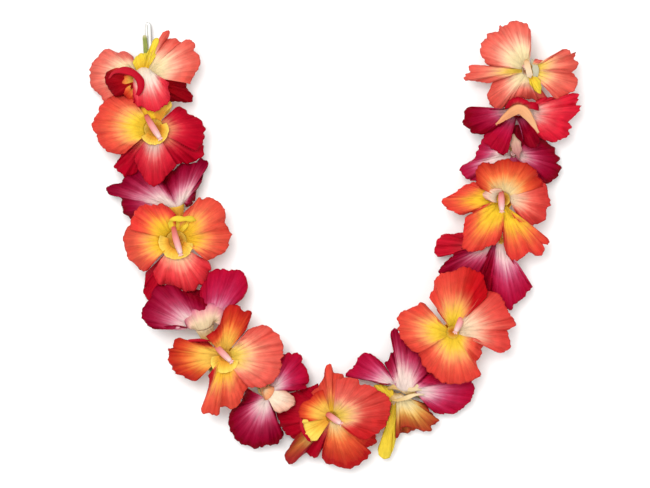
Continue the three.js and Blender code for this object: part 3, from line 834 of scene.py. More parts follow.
def plain_skin(columns: int, out: Array, wide: float, long: float) -> Skin:
    """Makes the readings of a grid with one tone.

    Args:
        columns: How many columns of quads the grid has.
        out: Shares along the grid, one to a row of points.
        wide: The grid's width in millimetres.
        long: The grid's length in millimetres.

    Returns:
        The readings, by row and column.
    """
    petal = np.stack(np.meshgrid(np.linspace(0, 1, columns + 1), out), axis=-1)
    zero = np.zeros_like(petal)
    return Skin(petal, petal * [wide, long], zero, zero.copy())


@dataclass
class Gathering:
    """Grids of points that become one mesh, each with its own tissue.

    Attributes:
        materials: The materials, in the order of the mesh's slots.
        points: Each grid's points, one to a row.
        faces: Each face's corners.
        kinds: Each face's slot.
        readings: Each grid's readings, by layer.
        count: How many points there are.
    """

    materials: list[Material] = field(default_factory=list)
    points: list[Array] = field(default_factory=list)
    faces: list[list[int]] = field(default_factory=list)
    kinds: list[int] = field(default_factory=list)
    readings: dict[str, list[Array]] = field(
        default_factory=lambda: {"petal": [], "span": [], "tone": [], "flank": []}
    )
    count: int = 0

    def add(self, grid: Array, skin: Skin, finish: Finish, capped: bool = False) -> None:
        """Adds a grid of quads.

        Args:
            grid: Points in millimetres, by row, column and axis.
            skin: The readings, by row and column.
            finish: What the grid is made of.
            capped: Whether the two ends of a tube get a cap.
        """
        material = material_of(finish)
        if material not in self.materials:
            self.materials.append(material)
        kind = self.materials.index(material)
        rows, columns = grid.shape[:2]
        start = self.count
        for row in range(rows - 1):
            for column in range(columns - 1):
                a = start + row * columns + column
                self.faces.append([a, a + 1, a + 1 + columns, a + columns])
                self.kinds.append(kind)
        if capped:
            end = start + (rows - 1) * columns
            self.faces.append([start + column for column in range(columns - 2, -1, -1)])
            self.faces.append([end + column for column in range(columns - 1)])
            self.kinds += [kind, kind]
        self.points.append(grid.reshape(-1, 3))
        for name, values in self.readings.items():
            values.append(getattr(skin, name).reshape(-1, 2))
        self.count += rows * columns

    def mesh(self, name: str, weld: bool) -> Piece:
        """Makes the object.

        Args:
            name: The object's name.
            weld: Whether points that meet become one, as round a tube.

        Returns:
            The object, linked to the scene.
        """
        data = bpy.data.meshes.new(name)
        data.from_pydata((np.vstack(self.points) * MM).tolist(), [], self.faces)
        corners = np.array([loop.vertex_index for loop in data.loops])
        for layer, values in self.readings.items():
            uv = data.uv_layers.new(name=layer, do_init=False)
            uv.uv.foreach_set("vector", np.vstack(values)[corners].astype(np.float32).ravel())
        data.polygons.foreach_set("material_index", self.kinds)
        data.polygons.foreach_set("use_smooth", [True] * len(data.polygons))
        for material in self.materials:
            data.materials.append(material)
        if weld:
            weld_points(data, WELD_REACH * MM)
        data.validate()
        piece = bpy.data.objects.new(name, data)
        bpy.context.scene.collection.objects.link(piece)
        return piece


def weld_points(data: bpy.types.Mesh, reach: float) -> None:
    """Joins points of a mesh that lie within a reach, and keeps its corner readings.

    Args:
        data: The mesh, which changes.
        reach: How near points have to be, in metres.
    """
    shape = bmesh.new()
    shape.from_mesh(data)
    bmesh.ops.remove_doubles(shape, verts=shape.verts, dist=reach)
    bmesh.ops.recalc_face_normals(shape, faces=shape.faces)
    shape.to_mesh(data)
    shape.free()


def give_thickness(piece: Piece, thickness: float) -> None:
    """Gives a sheet its thickness, half to each side.

    Args:
        piece: The sheet.
        thickness: Its thickness in millimetres.
    """
    solid = piece.modifiers.new("thickness", "SOLIDIFY")
    solid.thickness = thickness * MM
    solid.offset = 0.0


# The pieces of a bloom

# A petal's quads are about this long, within the fewest and the most columns and rows
QUAD = 1.5
COLUMNS = (26, 76)
ROWS = (14, 32)
PETAL_THICKNESS = 0.5
# How far out from its level root a petal has its whole slant from side to side, as a share
SLANT_END = 0.3
# The stretch at either end of a petal's edge that runs on under or over its neighbour
END_STRETCH = 0.2


@dataclass(frozen=True)
class Ripple:
    """One size of the ruffles of a petal or of its edge.

    Attributes:
        draw: Which of the petal's wandering lines it follows.
        pitch: The usual distance from crest to crest.
        size: How high it stands, or how far it moves the edge.
        start: How far out the ruffles start, as a share.
        full: How far out they have their whole height.
        slant: How many millimetres the crests shift along the edge on their way out.
    """

    draw: int
    pitch: float
    size: float
    start: float = 0.0
    full: float = 1.0
    slant: float = 0.0


# A fold's ends are this share of its width, and its width wavers by this share, over this share of
# its length from crest to crest
FOLD_END = 0.25
FOLD_WAVER = 0.14
FOLD_PITCH = 0.35
# The profile of a foot, from the middle of its bottom to the middle of its top, as (reach, height)
FOOT_PROFILE = (
    (0.05, 0.0), (3.4, 0.0), (4.3, 0.5), (5.4, 2.0), (6.0, 4.6), (5.9, 7.4), (5.5, 10.0),
    (5.1, 12.4), (4.9, 13.8), (4.3, 14.3), (0.05, 14.3),
)
FOOT_SIDES = 36
# Half the depth of the grooves between a foot's three lobes, as a share of its reach
FOOT_LOBES = 0.0175
# Where a style starts, just above the throat's floor, and where along the tube a hidden one lies
STYLE_FLOOR = 15.4
HIDDEN_STYLE = (0.56, 0.66, 0.76, 0.86)
STALK_RADIUS = 2.1
# How far a stalk stands off the flower, how far it droops by its length, and how far it bends
STALK_GAP = 0.35
STALK_DROOP = 0.12
STALK_BEND = 0.5
# A solid foot has eight corners that reach this far, and its stalk grows from this deep inside
FOOT_CORNER = 6.2
STALK_DEPTH = 2.6
STALK_START = FOOT_CORNER * math.cos(math.pi / 8) - STALK_DEPTH

# How many stations along and points round each tube has
TUBE_STATIONS = 22
BOWL_STATIONS = 14
FOOT_STATIONS = 34
FOLD_GRID = (30, 16)
STYLE_GRID = (26, 14)
LOBE_GRID = (9, 10)
STALK_GRID = (18, 16)
CORD_GRID = (621, 16)
ROD_SIDES = 20

# Broad ruffles, the pleats between them and the fine crinkle of the edge
RUFFLES = (
    Ripple(0, 14.0, 2.2, 0.15, 1.0),
    Ripple(2, 7.5, 0.7, 0.1, 0.8, 4.0),
    Ripple(1, 4.6, 1.4, 0.55, 1.0),
)
# The soft swells from root to edge
SWELL = Ripple(3, 15.0, 0.7)
# The edge's scallops in plan, and the finer ones on them
SCALLOPS = (Ripple(4, 6.0, 0.7), Ripple(5, 2.8, 0.35))


@dataclass(frozen=True)
class Petal:
    """One ruffled petal, from its root on the throat's rim to its free edge.

    Attributes:
        name: What the petal is called.
        root: The stretch of the rim that it grows from, as two angles.
        rise: The heights of its middle and of its edge.
        tissue: What it is made of.
        margin: Points round its free edge, each an angle and a reach from the bloom's middle.
        heart: How much further out than usual the heart's colour reaches, as a share.
        shade: How shaded the tissue is, from 0 to 1.
        flank: Where across the petal it starts to turn to its second colour, and where it has.
        ruffle: How strongly the edge is ruffled.
        curl: How far the edge's last stretch rolls down, or up where it is below 0.
        crease: How deep the furrow down the middle is.
        cup: How far the sides stand above the middle.
        under: How many degrees its two sides run on past its margin's ends, at its neighbours.
        neck: How wide the circle of its root is, as a share of the mouth's.
    """

    name: str
    root: Pair
    rise: Pair
    tissue: Tissue
    margin: tuple[Pair, ...]
    heart: float = 0.0
    shade: float = 0.0
    flank: Pair | None = None
    ruffle: float = 1.0
    curl: float = 0.8
    crease: float = 0.9
    cup: float = 0.0
    under: Pair = (4.0, 4.0)
    neck: float = 1.0


@dataclass(frozen=True)
class Fold:
    """A rolled or folded strip of a petal that stands up from it.

    Attributes:
        name: What the fold is called.
        tissue: What it is made of.
        path: Its middle line, from the bloom's middle, with heights.
        wide: Half its width.
        thick: Half its thickness.
        shade: How shaded the tissue is, from 0 to 1.
        taper: The share of its length that each end narrows over.
    """

    name: str
    tissue: Tissue
    path: tuple[Place, ...]
    wide: float = 2.2
    thick: float = 1.4
    shade: float = 0.0
    taper: float = 0.16


@dataclass(frozen=True)
class Mouth:
    """How the petals grow out of a tube.

    Attributes:
        sink: How far below the tube's mouth their roots lie.
        neck: How wide the circle of their roots is, as a share of the mouth's.
        tube_end: How far up the tube is a wall of its own, as a share of its length.
        bowl: How deep the throat goes on below their roots.
    """

    sink: float
    neck: float
    tube_end: float
    bowl: float


OPEN_MOUTH = Mouth(5.0, 0.8, 0.8, 9.0)
NARROW_MOUTH = Mouth(2.5, 0.5, 0.72, 8.0)
CLOSED_MOUTH = Mouth(4.0, 0.5, 0.6, 4.0)
BELL_MOUTH = Mouth(6.0, 0.85, 0.76, 6.0)


@dataclass
class Bloom:
    """One bloom on the cord: foot, tube, petals, style and stalk end.

    Attributes:
        number: The bloom's place on the cord, from 1.
        slot: The record's slot for its petals; not used.
        centre: The bloom's middle, as x and y.
        foot: Where the cord runs through it, from the middle.
        mouth: The middle of the tube's mouth, from the middle, with its height third.
        axis: The way the mouth faces: its compass angle, and its angle above level.
        radius: The mouth's radius.
        throat: The tube's tissue.
        style: The style's way through the throat, from the middle, with heights.
        stalk: The stalk end's compass angle, height, step aside and reach.
        petals: The petals, from the lowest layer up.
        folds: The rolled strips that stand up from them.
        lips: How the petals grow out of the tube.
        tube_start: How high over the table the tube starts, inside the foot.
        tube_rise: How long it stays near upright, as a share of its length.
        tube_bend: How long it keeps near its mouth's way.
        neck: The tube's radius where it starts.
        wall: How far inside the mouth's radius the petals' roots stand.
        root_lap: How many degrees a petal's root runs under its neighbours' roots.
        layer: How far each petal lies above the one before it.
        slant: How far one side of a petal stands above the other, past its root.
        wave: How high the broad waves of an edge stand.
        wave_pitch: The spacing of those waves along the edge.
        furrow: How wide a petal's middle furrow is, as a share of the petal.
        curl_start: How far out a petal's edge starts to roll, as a share.
        scallop_end: How far from its ends the edge has its whole scallops.
        flare: How late the tube widens, where 1 makes a cone.
        tube_sides: How many quads go round the tube.
        tube_lobes: How deep the tube's six lobes are, as a share of its radius.
        bowl_lap: How far the throat's bowl laps over the petals' roots.
        bowl_middle: The radius of the small opening in its middle.
    """

    number: int
    slot: str
    centre: Pair
    foot: Pair
    mouth: Place
    axis: Pair
    radius: float
    throat: Tissue
    style: tuple[Place, ...]
    stalk: tuple[float, float, float, float]
    petals: tuple[Petal, ...]
    folds: tuple[Fold, ...] = ()
    lips: Mouth = OPEN_MOUTH
    tube_start: float = 9.0
    tube_rise: float = 0.27
    tube_bend: float = 0.45
    neck: float = 4.4
    wall: float = 1.3
    root_lap: float = 5.0
    layer: float = 0.2
    slant: float = 1.0
    wave: float = 1.4
    wave_pitch: float = 16.0
    furrow: float = 0.07
    curl_start: float = 0.78
    scallop_end: float = 6.0
    flare: float = 1.5
    tube_sides: int = 48
    tube_lobes: float = 0.05
    bowl_lap: float = 0.15
    bowl_middle: float = 0.3

    def __post_init__(self) -> None:
        """Works out where the bloom's main points are."""
        x, y = self.centre
        compass, rise = np.radians(self.axis)
        level = math.cos(rise)
        self.middle = np.array([x, y])
        self.foot_at = np.array([x + self.foot[0], y + self.foot[1], 0.0])
        self.mouth_at = np.array([x + self.mouth[0], y + self.mouth[1], self.mouth[2]])
        self.way = np.array([
            level * math.cos(compass), level * math.sin(compass), math.sin(rise)
        ])

    def tube_line(self, t: Array) -> Array:
        """Follows the tube's middle line.

        Args:
            t: Shares of the way from the foot to the mouth.

        Returns:
            The places there.
        """
        base = self.foot_at + [0, 0, self.tube_start]
        length = np.linalg.norm(self.mouth_at - base)
        upright = base + [0, 0, length * self.tube_rise]
        bent = self.mouth_at - self.way * length * self.tube_bend
        return bezier([base, upright, bent, self.mouth_at], t)

    def petal_grid(self, petal: Petal, index: int) -> tuple[Array, Skin]:
        """Shapes one petal.

        Args:
            petal: The petal.
            index: Its layer.

        Returns:
            Its points by row and column, and its readings.
        """
        seed = self.number * 100 + index * 7
        edge_points = polar(*np.array(petal.margin, float).T) + self.middle
        length = line_length(along_curve(edge_points, np.linspace(0, 1, 60)))
        columns = int(np.clip(length / QUAD, *COLUMNS))
        across = np.linspace(0, 1, columns + 1)
        first, last = petal.root
        sense = math.copysign(1.0, last - first)
        edge = self.run_on(along_curve(edge_points, across) - self.middle, across, petal.under)
        lap = sense * self.root_lap
        turn = np.radians(first - lap + (last - first + 2 * lap) * across)
        rim = (self.radius - self.wall) * self.lips.neck * petal.neck
        root = turned(rim, -self.lips.sink, turn) @ tilt_to(self.way).T + self.mouth_at
        reach = float(np.linalg.norm(edge - root[:, :2], axis=1).max())
        rows = int(np.clip(reach / QUAD, *ROWS))
        out = np.linspace(0, 1, rows + 1)[:, None]

        run = across * length
        edge = edge + self.fringe(edge, run, seed) * petal.ruffle
        plan = root[None, :, :2] * (1 - out[..., None]) + edge[None] * out[..., None]
        height = self.petal_height(petal, root[:, 2], across, out, length)
        height = height + self.ripples(petal, run, out, reach, seed)
        height = height + self.slant * sense * (across - 0.5) * ease(out, 0.0, SLANT_END)
        grid = np.dstack([plan, height + index * self.layer])

        skin = plain_skin(columns, out[:, 0], length, reach)
        sides = (2 * across - 1) ** 2
        skin.tone[..., 0] = (petal.heart - petal.tissue.value.fade * sides)[None]
        skin.tone[..., 1] = petal.shade
        if petal.flank:
            skin.flank[..., 0] = ease(across, *petal.flank)[None]
        return grid, skin

    def run_on(self, edge: Array, across: Array, under: Pair) -> Array:
        """Turns the two ends of a petal's edge outward, so that its sides overlap its neighbours.

        Args:
            edge: The edge's points, from the bloom's middle.
            across: Shares along the edge.
            under: The two turns, in degrees.

        Returns:
            The edge's points in plan.
        """
        angle = np.unwrap(np.arctan2(edge[:, 1], edge[:, 0]))
        sense = math.copysign(1.0, angle[-1] - angle[0])
        angle -= sense * math.radians(under[0]) * ease(across, END_STRETCH, 0.0)
        angle += sense * math.radians(under[1]) * ease(across, 1 - END_STRETCH, 1.0)
        reach = np.linalg.norm(edge, axis=1)
        return np.stack([reach * np.cos(angle), reach * np.sin(angle)], 1) + self.middle

    def petal_height(
        self, petal: Petal, root: Array, across: Array, out: Array, length: float
    ) -> Array:
        """Finds the petal's main form: up from its root, over its middle and down to its edge.

        Args:
            petal: The petal.
            root: The heights along its root.
            across: Shares across it.
            out: Shares of the way out, one to a row.
            length: The edge's length.

        Returns:
            The heights by row and column.
        """
        middle, tip = petal.rise
        waves = max(1, round(length / self.wave_pitch))
        bend = root * (1 - out) * (1 - 2 * out) + middle * 4 * out * (1 - out)
        bend = bend + tip * out * (2 * out - 1)
        bend = bend + self.wave * out**2 * np.sin(FULL_TURN * waves * across)
        furrow = np.exp(-(((across - 0.5) / self.furrow) ** 2)) * 4 * out * (1 - out)
        sides = (2 * across - 1) ** 2 * out * (2 - out)
        return bend - petal.crease * furrow + petal.cup * sides

    def ripples(
        self, petal: Petal, run: Array, out: Array, reach: float, seed: int
    ) -> Array:
        """Finds the ruffles that grow toward the edge, and the soft swells between.

        Args:
            petal: The petal.
            run: Millimetres along the edge, one to a column.
            out: Shares of the way out, one to a row.
            reach: The petal's longest reach.
            seed: What makes this petal differ from others.

        Returns:
            The heights by row and column.
        """
        waves = sum(
            Wander(seed + ripple.draw, ripple.pitch).at(run + ripple.slant * out)
            * ease(out, ripple.start, ripple.full) * ripple.size
            for ripple in RUFFLES
        )
        swell = Wander(seed + SWELL.draw, SWELL.pitch).at(out * reach)
        swell = swell * np.sin(math.pi * out) * SWELL.size
        return waves * petal.ruffle + swell - petal.curl * ease(out, self.curl_start, 1.0)

    def fringe(self, edge: Array, run: Array, seed: int) -> Array:
        """Finds the small scallops of the edge.

        Args:
            edge: The edge's points.
            run: Millimetres along the edge.
            seed: What makes this petal differ from others.

        Returns:
            How far each point moves in plan.
        """
        away = edge - self.middle
        away /= np.linalg.norm(away, axis=1)[:, None]
        ends = np.minimum(run, run[-1] - run)
        size = sum(
            Wander(seed + ripple.draw, ripple.pitch).at(run) * ripple.size for ripple in SCALLOPS
        )
        return away * (size * ease(ends, 0.0, self.scallop_end))[:, None]

    def piece(self, gathering: Gathering, part: str, weld: bool = True) -> Piece:
        """Makes one of the bloom's objects, named for the bloom and its part."""
        return gathering.mesh(f"bloom_{self.number:02d}_{part}", weld)

    def make_perianth(self) -> Piece:
        """Makes the tube and the petals, which grew as one.

        Returns:
            The object.
        """
        gathering = Gathering()
        t = np.linspace(0, self.lips.tube_end, TUBE_STATIONS)
        line = self.tube_line(t)
        way = np.gradient(line, axis=0)
        way /= np.linalg.norm(way, axis=1)[:, None]
        way[0] = (0, 0, 1)
        radius = self.neck + (self.radius - self.neck) * t**self.flare - self.wall / 2
        turn = np.linspace(0, FULL_TURN, self.tube_sides + 1)
        lobes = 1 + self.tube_lobes * t[:, None] * np.cos(6 * turn + self.number)
        rings = np.array([
            turned(size * lobe, 0.0, turn) @ tilt_to(axis).T + centre
            for centre, axis, size, lobe in zip(line, way, radius, lobes)
        ])
        skin = plain_skin(self.tube_sides, t, wide=FULL_TURN * self.radius, long=24.0)
        gathering.add(rings, skin, self.throat.value)
        gathering.add(*self.throat_floor(), self.throat.value)
        for index, petal in enumerate(self.petals):
            gathering.add(*self.petal_grid(petal, index), petal.tissue.value)
        piece = self.piece(gathering, "perianth", weld=False)
        give_thickness(piece, PETAL_THICKNESS)
        return piece

    def throat_floor(self) -> tuple[Array, Skin]:
        """Shapes the bowl that closes the throat below the petals' roots.

        Returns:
            Its points by row and column, and its readings.
        """
        rim = (self.radius - self.wall) * self.lips.neck + self.bowl_lap
        inward = np.linspace(0, 1, BOWL_STATIONS)
        reach = rim + (self.bowl_middle - rim) * inward
        bowl = self.lips.bowl * (1 - (reach / rim) ** 1.5)
        depth = self.lips.sink - self.bowl_lap + bowl
        turn = np.linspace(0, FULL_TURN, self.tube_sides + 1)
        rings = turned(reach[:, None], -depth[:, None], turn)
        skin = plain_skin(self.tube_sides, 1 - inward, wide=FULL_TURN * rim, long=12.0)
        return rings @ tilt_to(self.way).T + self.mouth_at, skin

    def make_folds(self) -> Piece:
        """Makes the rolled strips, which taper to both ends.

        Returns:
            The object.
        """
        gathering = Gathering()
        stations, sides = FOLD_GRID
        t = np.linspace(0, 1, stations)
        for index, fold in enumerate(self.folds):
            line = along_curve(np.array(fold.path) + np.append(self.middle, 0.0), t)
            taper = FOLD_END + (1 - FOLD_END) * ease(np.minimum(t, 1 - t), 0.0, fold.taper)
            waver = 1 + FOLD_WAVER * Wander(self.number * 50 + index, FOLD_PITCH).at(t)
            rings = sweep(line, fold.wide * taper * waver, fold.thick * taper, sides)
            # It shows a petal's colours from 0.4 to 0.85 of the way out
            skin = plain_skin(sides, 0.4 + 0.45 * t, wide=6 * fold.wide, long=line_length(line))
            skin.tone[..., 1] = fold.shade
            gathering.add(rings, skin, fold.tissue.value, capped=True)
        return self.piece(gathering, "folds")

    def make_foot(self, cord: "Cord") -> Piece:
        """Makes the foot: the bloom's small rounded base, pierced for the cord.

        Args:
            cord: The cord, which says where the hole runs.

        Returns:
            The object.
        """
        out = np.linspace(0, 1, FOOT_STATIONS)
        reach, height = along_curve(np.array(FOOT_PROFILE), out).T[..., None]
        turn = np.linspace(0, FULL_TURN, FOOT_SIDES + 1)
        rings = turned(reach, np.maximum(height, 0.0), turn)
        rings[..., :2] *= (1 - FOOT_LOBES * (1 - np.cos(3 * turn + self.number)))[:, None]
        gathering = Gathering()
        skin = plain_skin(FOOT_SIDES, out, wide=36.0, long=16.0)
        gathering.add(rings + self.foot_at, skin, Tissue.FOOT.value, capped=True)
        piece = self.piece(gathering, "foot")
        cut_hole(piece, cord.hole_at(self.foot_at))
        return piece

    def make_style(self) -> Piece:
        """Makes the style, which arches through the throat and ends in three small lobes.

        Returns:
            The object.
        """
        if self.style:
            points = [self.foot_at + [0, 0, STYLE_FLOOR]]
            points += [np.append(self.middle, 0.0) + place for place in self.style]
        else:
            points = self.tube_line(np.array(HIDDEN_STYLE))
        stations, sides = STYLE_GRID
        t = np.linspace(0, 1, stations)
        line = along_curve(np.array(points), t)
        # Half its width: 1 mm at its root, 2.7 mm where it is broadest and 2 mm at its end
        wide = 1.0 + 1.7 * ease(t, 0.15, 0.75) - 0.7 * ease(t, 0.85, 1.0)
        thick = 0.8 + 0.4 * ease(t, 0.2, 0.7)
        gathering = Gathering()
        skin = plain_skin(sides, t, wide=12.0, long=30.0)
        gathering.add(sweep(line, wide, thick, sides), skin, Tissue.STYLE.value, capped=True)
        way = line[-1] - line[-3]
        way /= np.linalg.norm(way)
        aside = np.cross(way, [0, 0, 1])
        aside /= np.linalg.norm(aside)
        # The lobes start inside its tip, spread to both sides and rise a little
        stations, sides = LOBE_GRID
        s = np.linspace(0, 1, stations)
        size = 0.75 * (1 - s**2) + 0.18
        skin = plain_skin(sides, 0.8 + 0.2 * s, wide=4.0, long=4.0)
        for lean in (-1, 0, 1):
            start = line[-1] - way * 0.8
            bend = line[-1] + way * 1.6 + aside * lean * 0.8
            tip = line[-1] + way * (2.8 - abs(lean)) + aside * lean * 2.2 + [0, 0, 0.9]
            rings = sweep(bezier([start, bend, tip], s), size, size * 0.8, sides)
            gathering.add(rings, skin, Tissue.STYLE.value, capped=True)
        return self.piece(gathering, "style")

    def make_stalk(self) -> Piece:
        """Makes the green stalk end, picked short.

        Returns:
            The object.
        """
        angle, height, side, tip = self.stalk
        level = np.append(polar(angle, 1.0), 0.0)
        aside = np.array([level[1], -level[0], 0.0])
        length = tip - STALK_START
        root = self.foot_at + [0, 0, height] + level * STALK_START + aside * side
        stations, sides = STALK_GRID
        t = np.linspace(0, 1, stations)
        line = root + level * (STALK_GAP + t[:, None] * (length - STALK_GAP))
        line[:, 2] -= STALK_DROOP * length * t
        line += aside * (STALK_BEND * np.sin(math.pi * t))[:, None]
        # It narrows a little on its way, and more at its picked end
        size = STALK_RADIUS * (0.98 - 0.1 * t - 0.16 * ease(t, 0.92, 1.0))
        gathering = Gathering()
        skin = plain_skin(sides, t, wide=13.0, long=length)
        gathering.add(sweep(line, size, size, sides), skin, StalkSkin(), capped=True)
        return self.piece(gathering, "stalk")

    def build(self, cord: "Cord") -> None:
        """Makes and places the bloom's pieces over their solids.

        Args:
            cord: The cord through its foot.
        """
        node = f"{self.number:02d}"
        pieces = [self.make_perianth(), self.make_foot(cord)]
        if self.folds:
            pieces.append(self.make_folds())
        for piece in pieces:
            settle(piece, f"floret_{node}")
        settle(self.make_style(), f"style_{node}")
        settle(self.make_stalk(), f"stalk_{node}")


def cut_hole(piece: Piece, rod: Piece) -> None:
    """Cuts a rod's hole through a piece, and removes the rod.

    Args:
        piece: The piece, which changes.
        rod: The rod.
    """
    cut = piece.modifiers.new("hole", "BOOLEAN")
    cut.operation = "DIFFERENCE"
    cut.solver = "EXACT"
    cut.object = rod
    shown = piece.evaluated_get(bpy.context.evaluated_depsgraph_get())
    data = bpy.data.meshes.new_from_object(shown)
    piece.modifiers.clear()
    piece.data = data
    bpy.data.objects.remove(rod)


def settle(piece: Piece, node: str) -> None:
    """Ties a piece to the frame.

    Args:
        piece: The piece.
        node: The node that it stands for.
    """
    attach(piece, BODY)
    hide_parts(node)
    log.info("%s stands for %s with %d faces", piece.name, node, len(piece.data.polygons))


@dataclass
class Cord:
    """The stringing cord, doubled back in a loop at its first end.

    Attributes:
        route: The points of its middle line.
        radius: Its radius.
        clearance: The room round it in a foot's hole.
    """

    route: list[Place]
    radius: float = 1.8
    clearance: float = 0.4

    def line(self, stations: int) -> Array:
        """Follows the cord's middle line.

        Args:
            stations: How many points stand for it.

        Returns:
            Its points.
        """
        return along_curve(np.array(self.route, float), np.linspace(0, 1, stations))

    def hole_at(self, foot: Array) -> Piece:
        """Makes a rod a little wider than the cord, where the cord runs through a foot.

        Args:
            foot: The foot's place.

        Returns:
            The rod.
        """
        line = self.line(901)
        near = int(np.argmin(np.linalg.norm(line[:, :2] - foot[:2], axis=1)))
        # The line's points lie 0.9 mm apart, so this runs 13 mm past the foot's middle both ways
        stretch = line[max(0, near - 14) : near + 15]
        size = np.full(len(stretch), self.radius + self.clearance)
        skin = plain_skin(ROD_SIDES, np.linspace(0, 1, len(stretch)), wide=14.0, long=30.0)
        rod = Gathering()
        rings = sweep(stretch, size, size, ROD_SIDES)
        rod.add(rings, skin, Tissue.FOOT.value, capped=True)
        return rod.mesh("hole_rod", weld=True)

    def build(self) -> None:
        """Makes the cord and places it over its solid."""
        stations, sides = CORD_GRID
        line = self.line(stations)
        share = np.linspace(0, 1, len(line))
        length = line_length(line)
        ends = np.minimum(share, 1 - share) * length
        # Its cut ends are a little thinner, over their last 1.2 mm
        size = self.radius * (0.86 + 0.14 * ease(ends, 0.0, 1.2))
        skin = plain_skin(sides, share, wide=CORD_GIRTH, long=length)
        gathering = Gathering()
        gathering.add(sweep(line, size, size, sides), skin, CordFibre(), capped=True)
        settle(gathering.mesh("stringing_cord", weld=True), "string")
        log.info("the cord is %.0f mm long", length)


# The blooms, from the top left end round to the top right end

# Coral wings under a scarlet lip, with a furled red petal at the left
BLOOM_01 = Bloom(
    1, "floret_coral", centre=(-159.0, 148.8), foot=(2.5, 0), mouth=(-3, -5, 30), axis=(90, 90),
    radius=9, throat=Tissue.PALE_THROAT, style=((-4, -5, 25), (-6.5, -8.5, 30.5)),
    stalk=(93, 11.4, -4.4, 31.2),
    petals=(
        Petal("left", (145, 222), (29, 12), Tissue.CORAL_CREAM, (
            (140, 18), (143, 28), (149, 30), (151, 40), (157, 43), (165, 45), (171, 48.5), (183, 50),
            (190, 50.5), (197, 50), (204, 46.5), (215, 45), (226, 38)), heart=0.12),
        Petal("right", (70, -5), (34, 26), Tissue.CORAL_CREAM, (
            (68, 32), (66, 36), (60, 38), (56, 31.5), (49, 36), (40, 37), (38, 42.5), (32, 46),
            (27, 46), (23.5, 43), (17, 45.5), (10, 46), (3, 44), (-3, 40.5), (-9, 38.5), (-14, 38.5)),
            heart=0.06, under=(0, 4)),
        # Its dark red is painted shade of a crimson petal that lies in shade
        Petal("fold", (350, 305), (25, 20), Tissue.BLOOD_AND_SHADE, (
            (-8, 23), (-11, 30.5), (-17, 34), (-24, 36.5), (-28, 42.5), (-32, 46), (-35, 46),
            (-41, 41.5), (-45, 36), (-51, 32))),
        Petal("top", (75, 140), (32, 33), Tissue.BUTTER, (
            (72, 16), (85, 14), (110, 14.5), (135, 14), (150, 13)), ruffle=0.4),
        Petal("strap", (88, 62), (34, 34), Tissue.BUTTER, (
            (86, 12), (80, 20), (75, 27.5), (68, 28), (64, 21), (58, 13)), ruffle=0.3),
        # Its dark red is painted shade of the hollow inside the furl
        Petal("furl", (182, 226), (33, 30), Tissue.BLOOD_AND_SHADE, (
            (180, 24), (183, 34), (195, 36.5), (207, 36), (220, 35), (228, 26)), ruffle=0.5,
            flank=(0.3, 0.0)),
        Petal("inside", (192, 250), (32, 30), Tissue.FLAME, (
            (190, 16), (197, 24), (206, 27), (218, 28), (230, 29), (240, 30), (250, 27)), heart=0.16,
            ruffle=0.4),
        Petal("lip", (150, 30), (38, 35), Tissue.SCARLET, (
            (240, 22), (247, 28), (252, 30.5), (260, 32), (270, 33.5), (279, 36.5), (287, 36),
            (304, 33.5), (309, 32.5), (318, 25), (330, 22)), heart=0.17, under=(0, 0), neck=1.3),
    ),
    folds=(
        Fold("band", Tissue.CRIMSON, (
            (-32, -8, 33), (-28, -3, 36), (-19, -1, 38), (-10, -4, 40), (-4.5, -10.5, 42),
            (-4.5, -17, 42.5), (-7.5, -23, 41), (-10.5, -28.5, 37)), wide=3.3, thick=0.8, taper=0.4),
    ),
)

# Coral at the left and crimson at the right, round a wide golden throat
BLOOM_02 = Bloom(
    2, "floret_coral", centre=(-153.0, 98.6), foot=(0, 0), mouth=(0, 0, 30), axis=(90, 90), radius=12,
    throat=Tissue.THROAT, style=((-4, 7, 26), (-6.5, 11.5, 31), (-1, 2, 34.5), (5.1, -7.6, 34)),
    stalk=(180, 11, 0, 20),
    petals=(
        Petal("left", (130, 212), (35, 26), Tissue.CORAL_DEEP, (
            (128, 34), (137, 42), (146, 47), (151, 48.5), (156, 50), (166, 50), (173, 53), (180, 52.5),
            (185, 49), (191, 49), (198, 47), (205, 44), (211, 38), (216, 32)), heart=0.1),
        Petal("lower_left", (212, 240), (24, 19), Tissue.CRIMSON, (
            (216, 32), (220, 40), (222, 47), (228, 47.5), (234, 47), (238, 48), (243, 40))),
        Petal("bottom", (240, 300), (32, 27), Tissue.SCARLET, (
            (238, 29), (248, 36), (257, 42), (265, 47.5), (273, 48), (279, 45), (286, 40.5), (298, 36)),
            heart=-0.04, shade=0.25),
        Petal("lower_right", (-60, -24), (25, 20), Tissue.CRIMSON, (
            (-60, 34), (-51, 37), (-44, 41.5), (-37, 44), (-31, 47), (-28, 46.5), (-22, 44))),
        Petal("right", (40, -25), (34, 28), Tissue.CRIMSON, (
            (42, 21), (44, 26), (39, 30), (32, 31), (24, 32), (18, 35.5), (12, 40), (7, 41.5),
            (0, 43.5), (-5, 42.5), (-10, 43.5), (-17, 42.5), (-24, 40)), heart=0.03, under=(0, 4)),
        Petal("upper_right", (84, 56), (28, 25), Tissue.CUP, (
            (85, 24), (70, 27), (57, 27), (51, 23), (50, 17)), heart=0.1, ruffle=0.5, under=(4, 0)),
        Petal("top", (128, 88), (28, 23), Tissue.GOLD_CORAL, (
            (126, 28), (112, 31), (98, 30), (88, 26)), ruffle=0.5),
        Petal("cup", (215, 390), (28.4, 31), Tissue.CUP, (
            (212, 12.5), (235, 13), (260, 13.5), (285, 13.5), (310, 13.5), (335, 13), (360, 13),
            (385, 12)), ruffle=0.5, curl=-0.2, crease=0.0, under=(0, 0), neck=0.7),
    ),
)

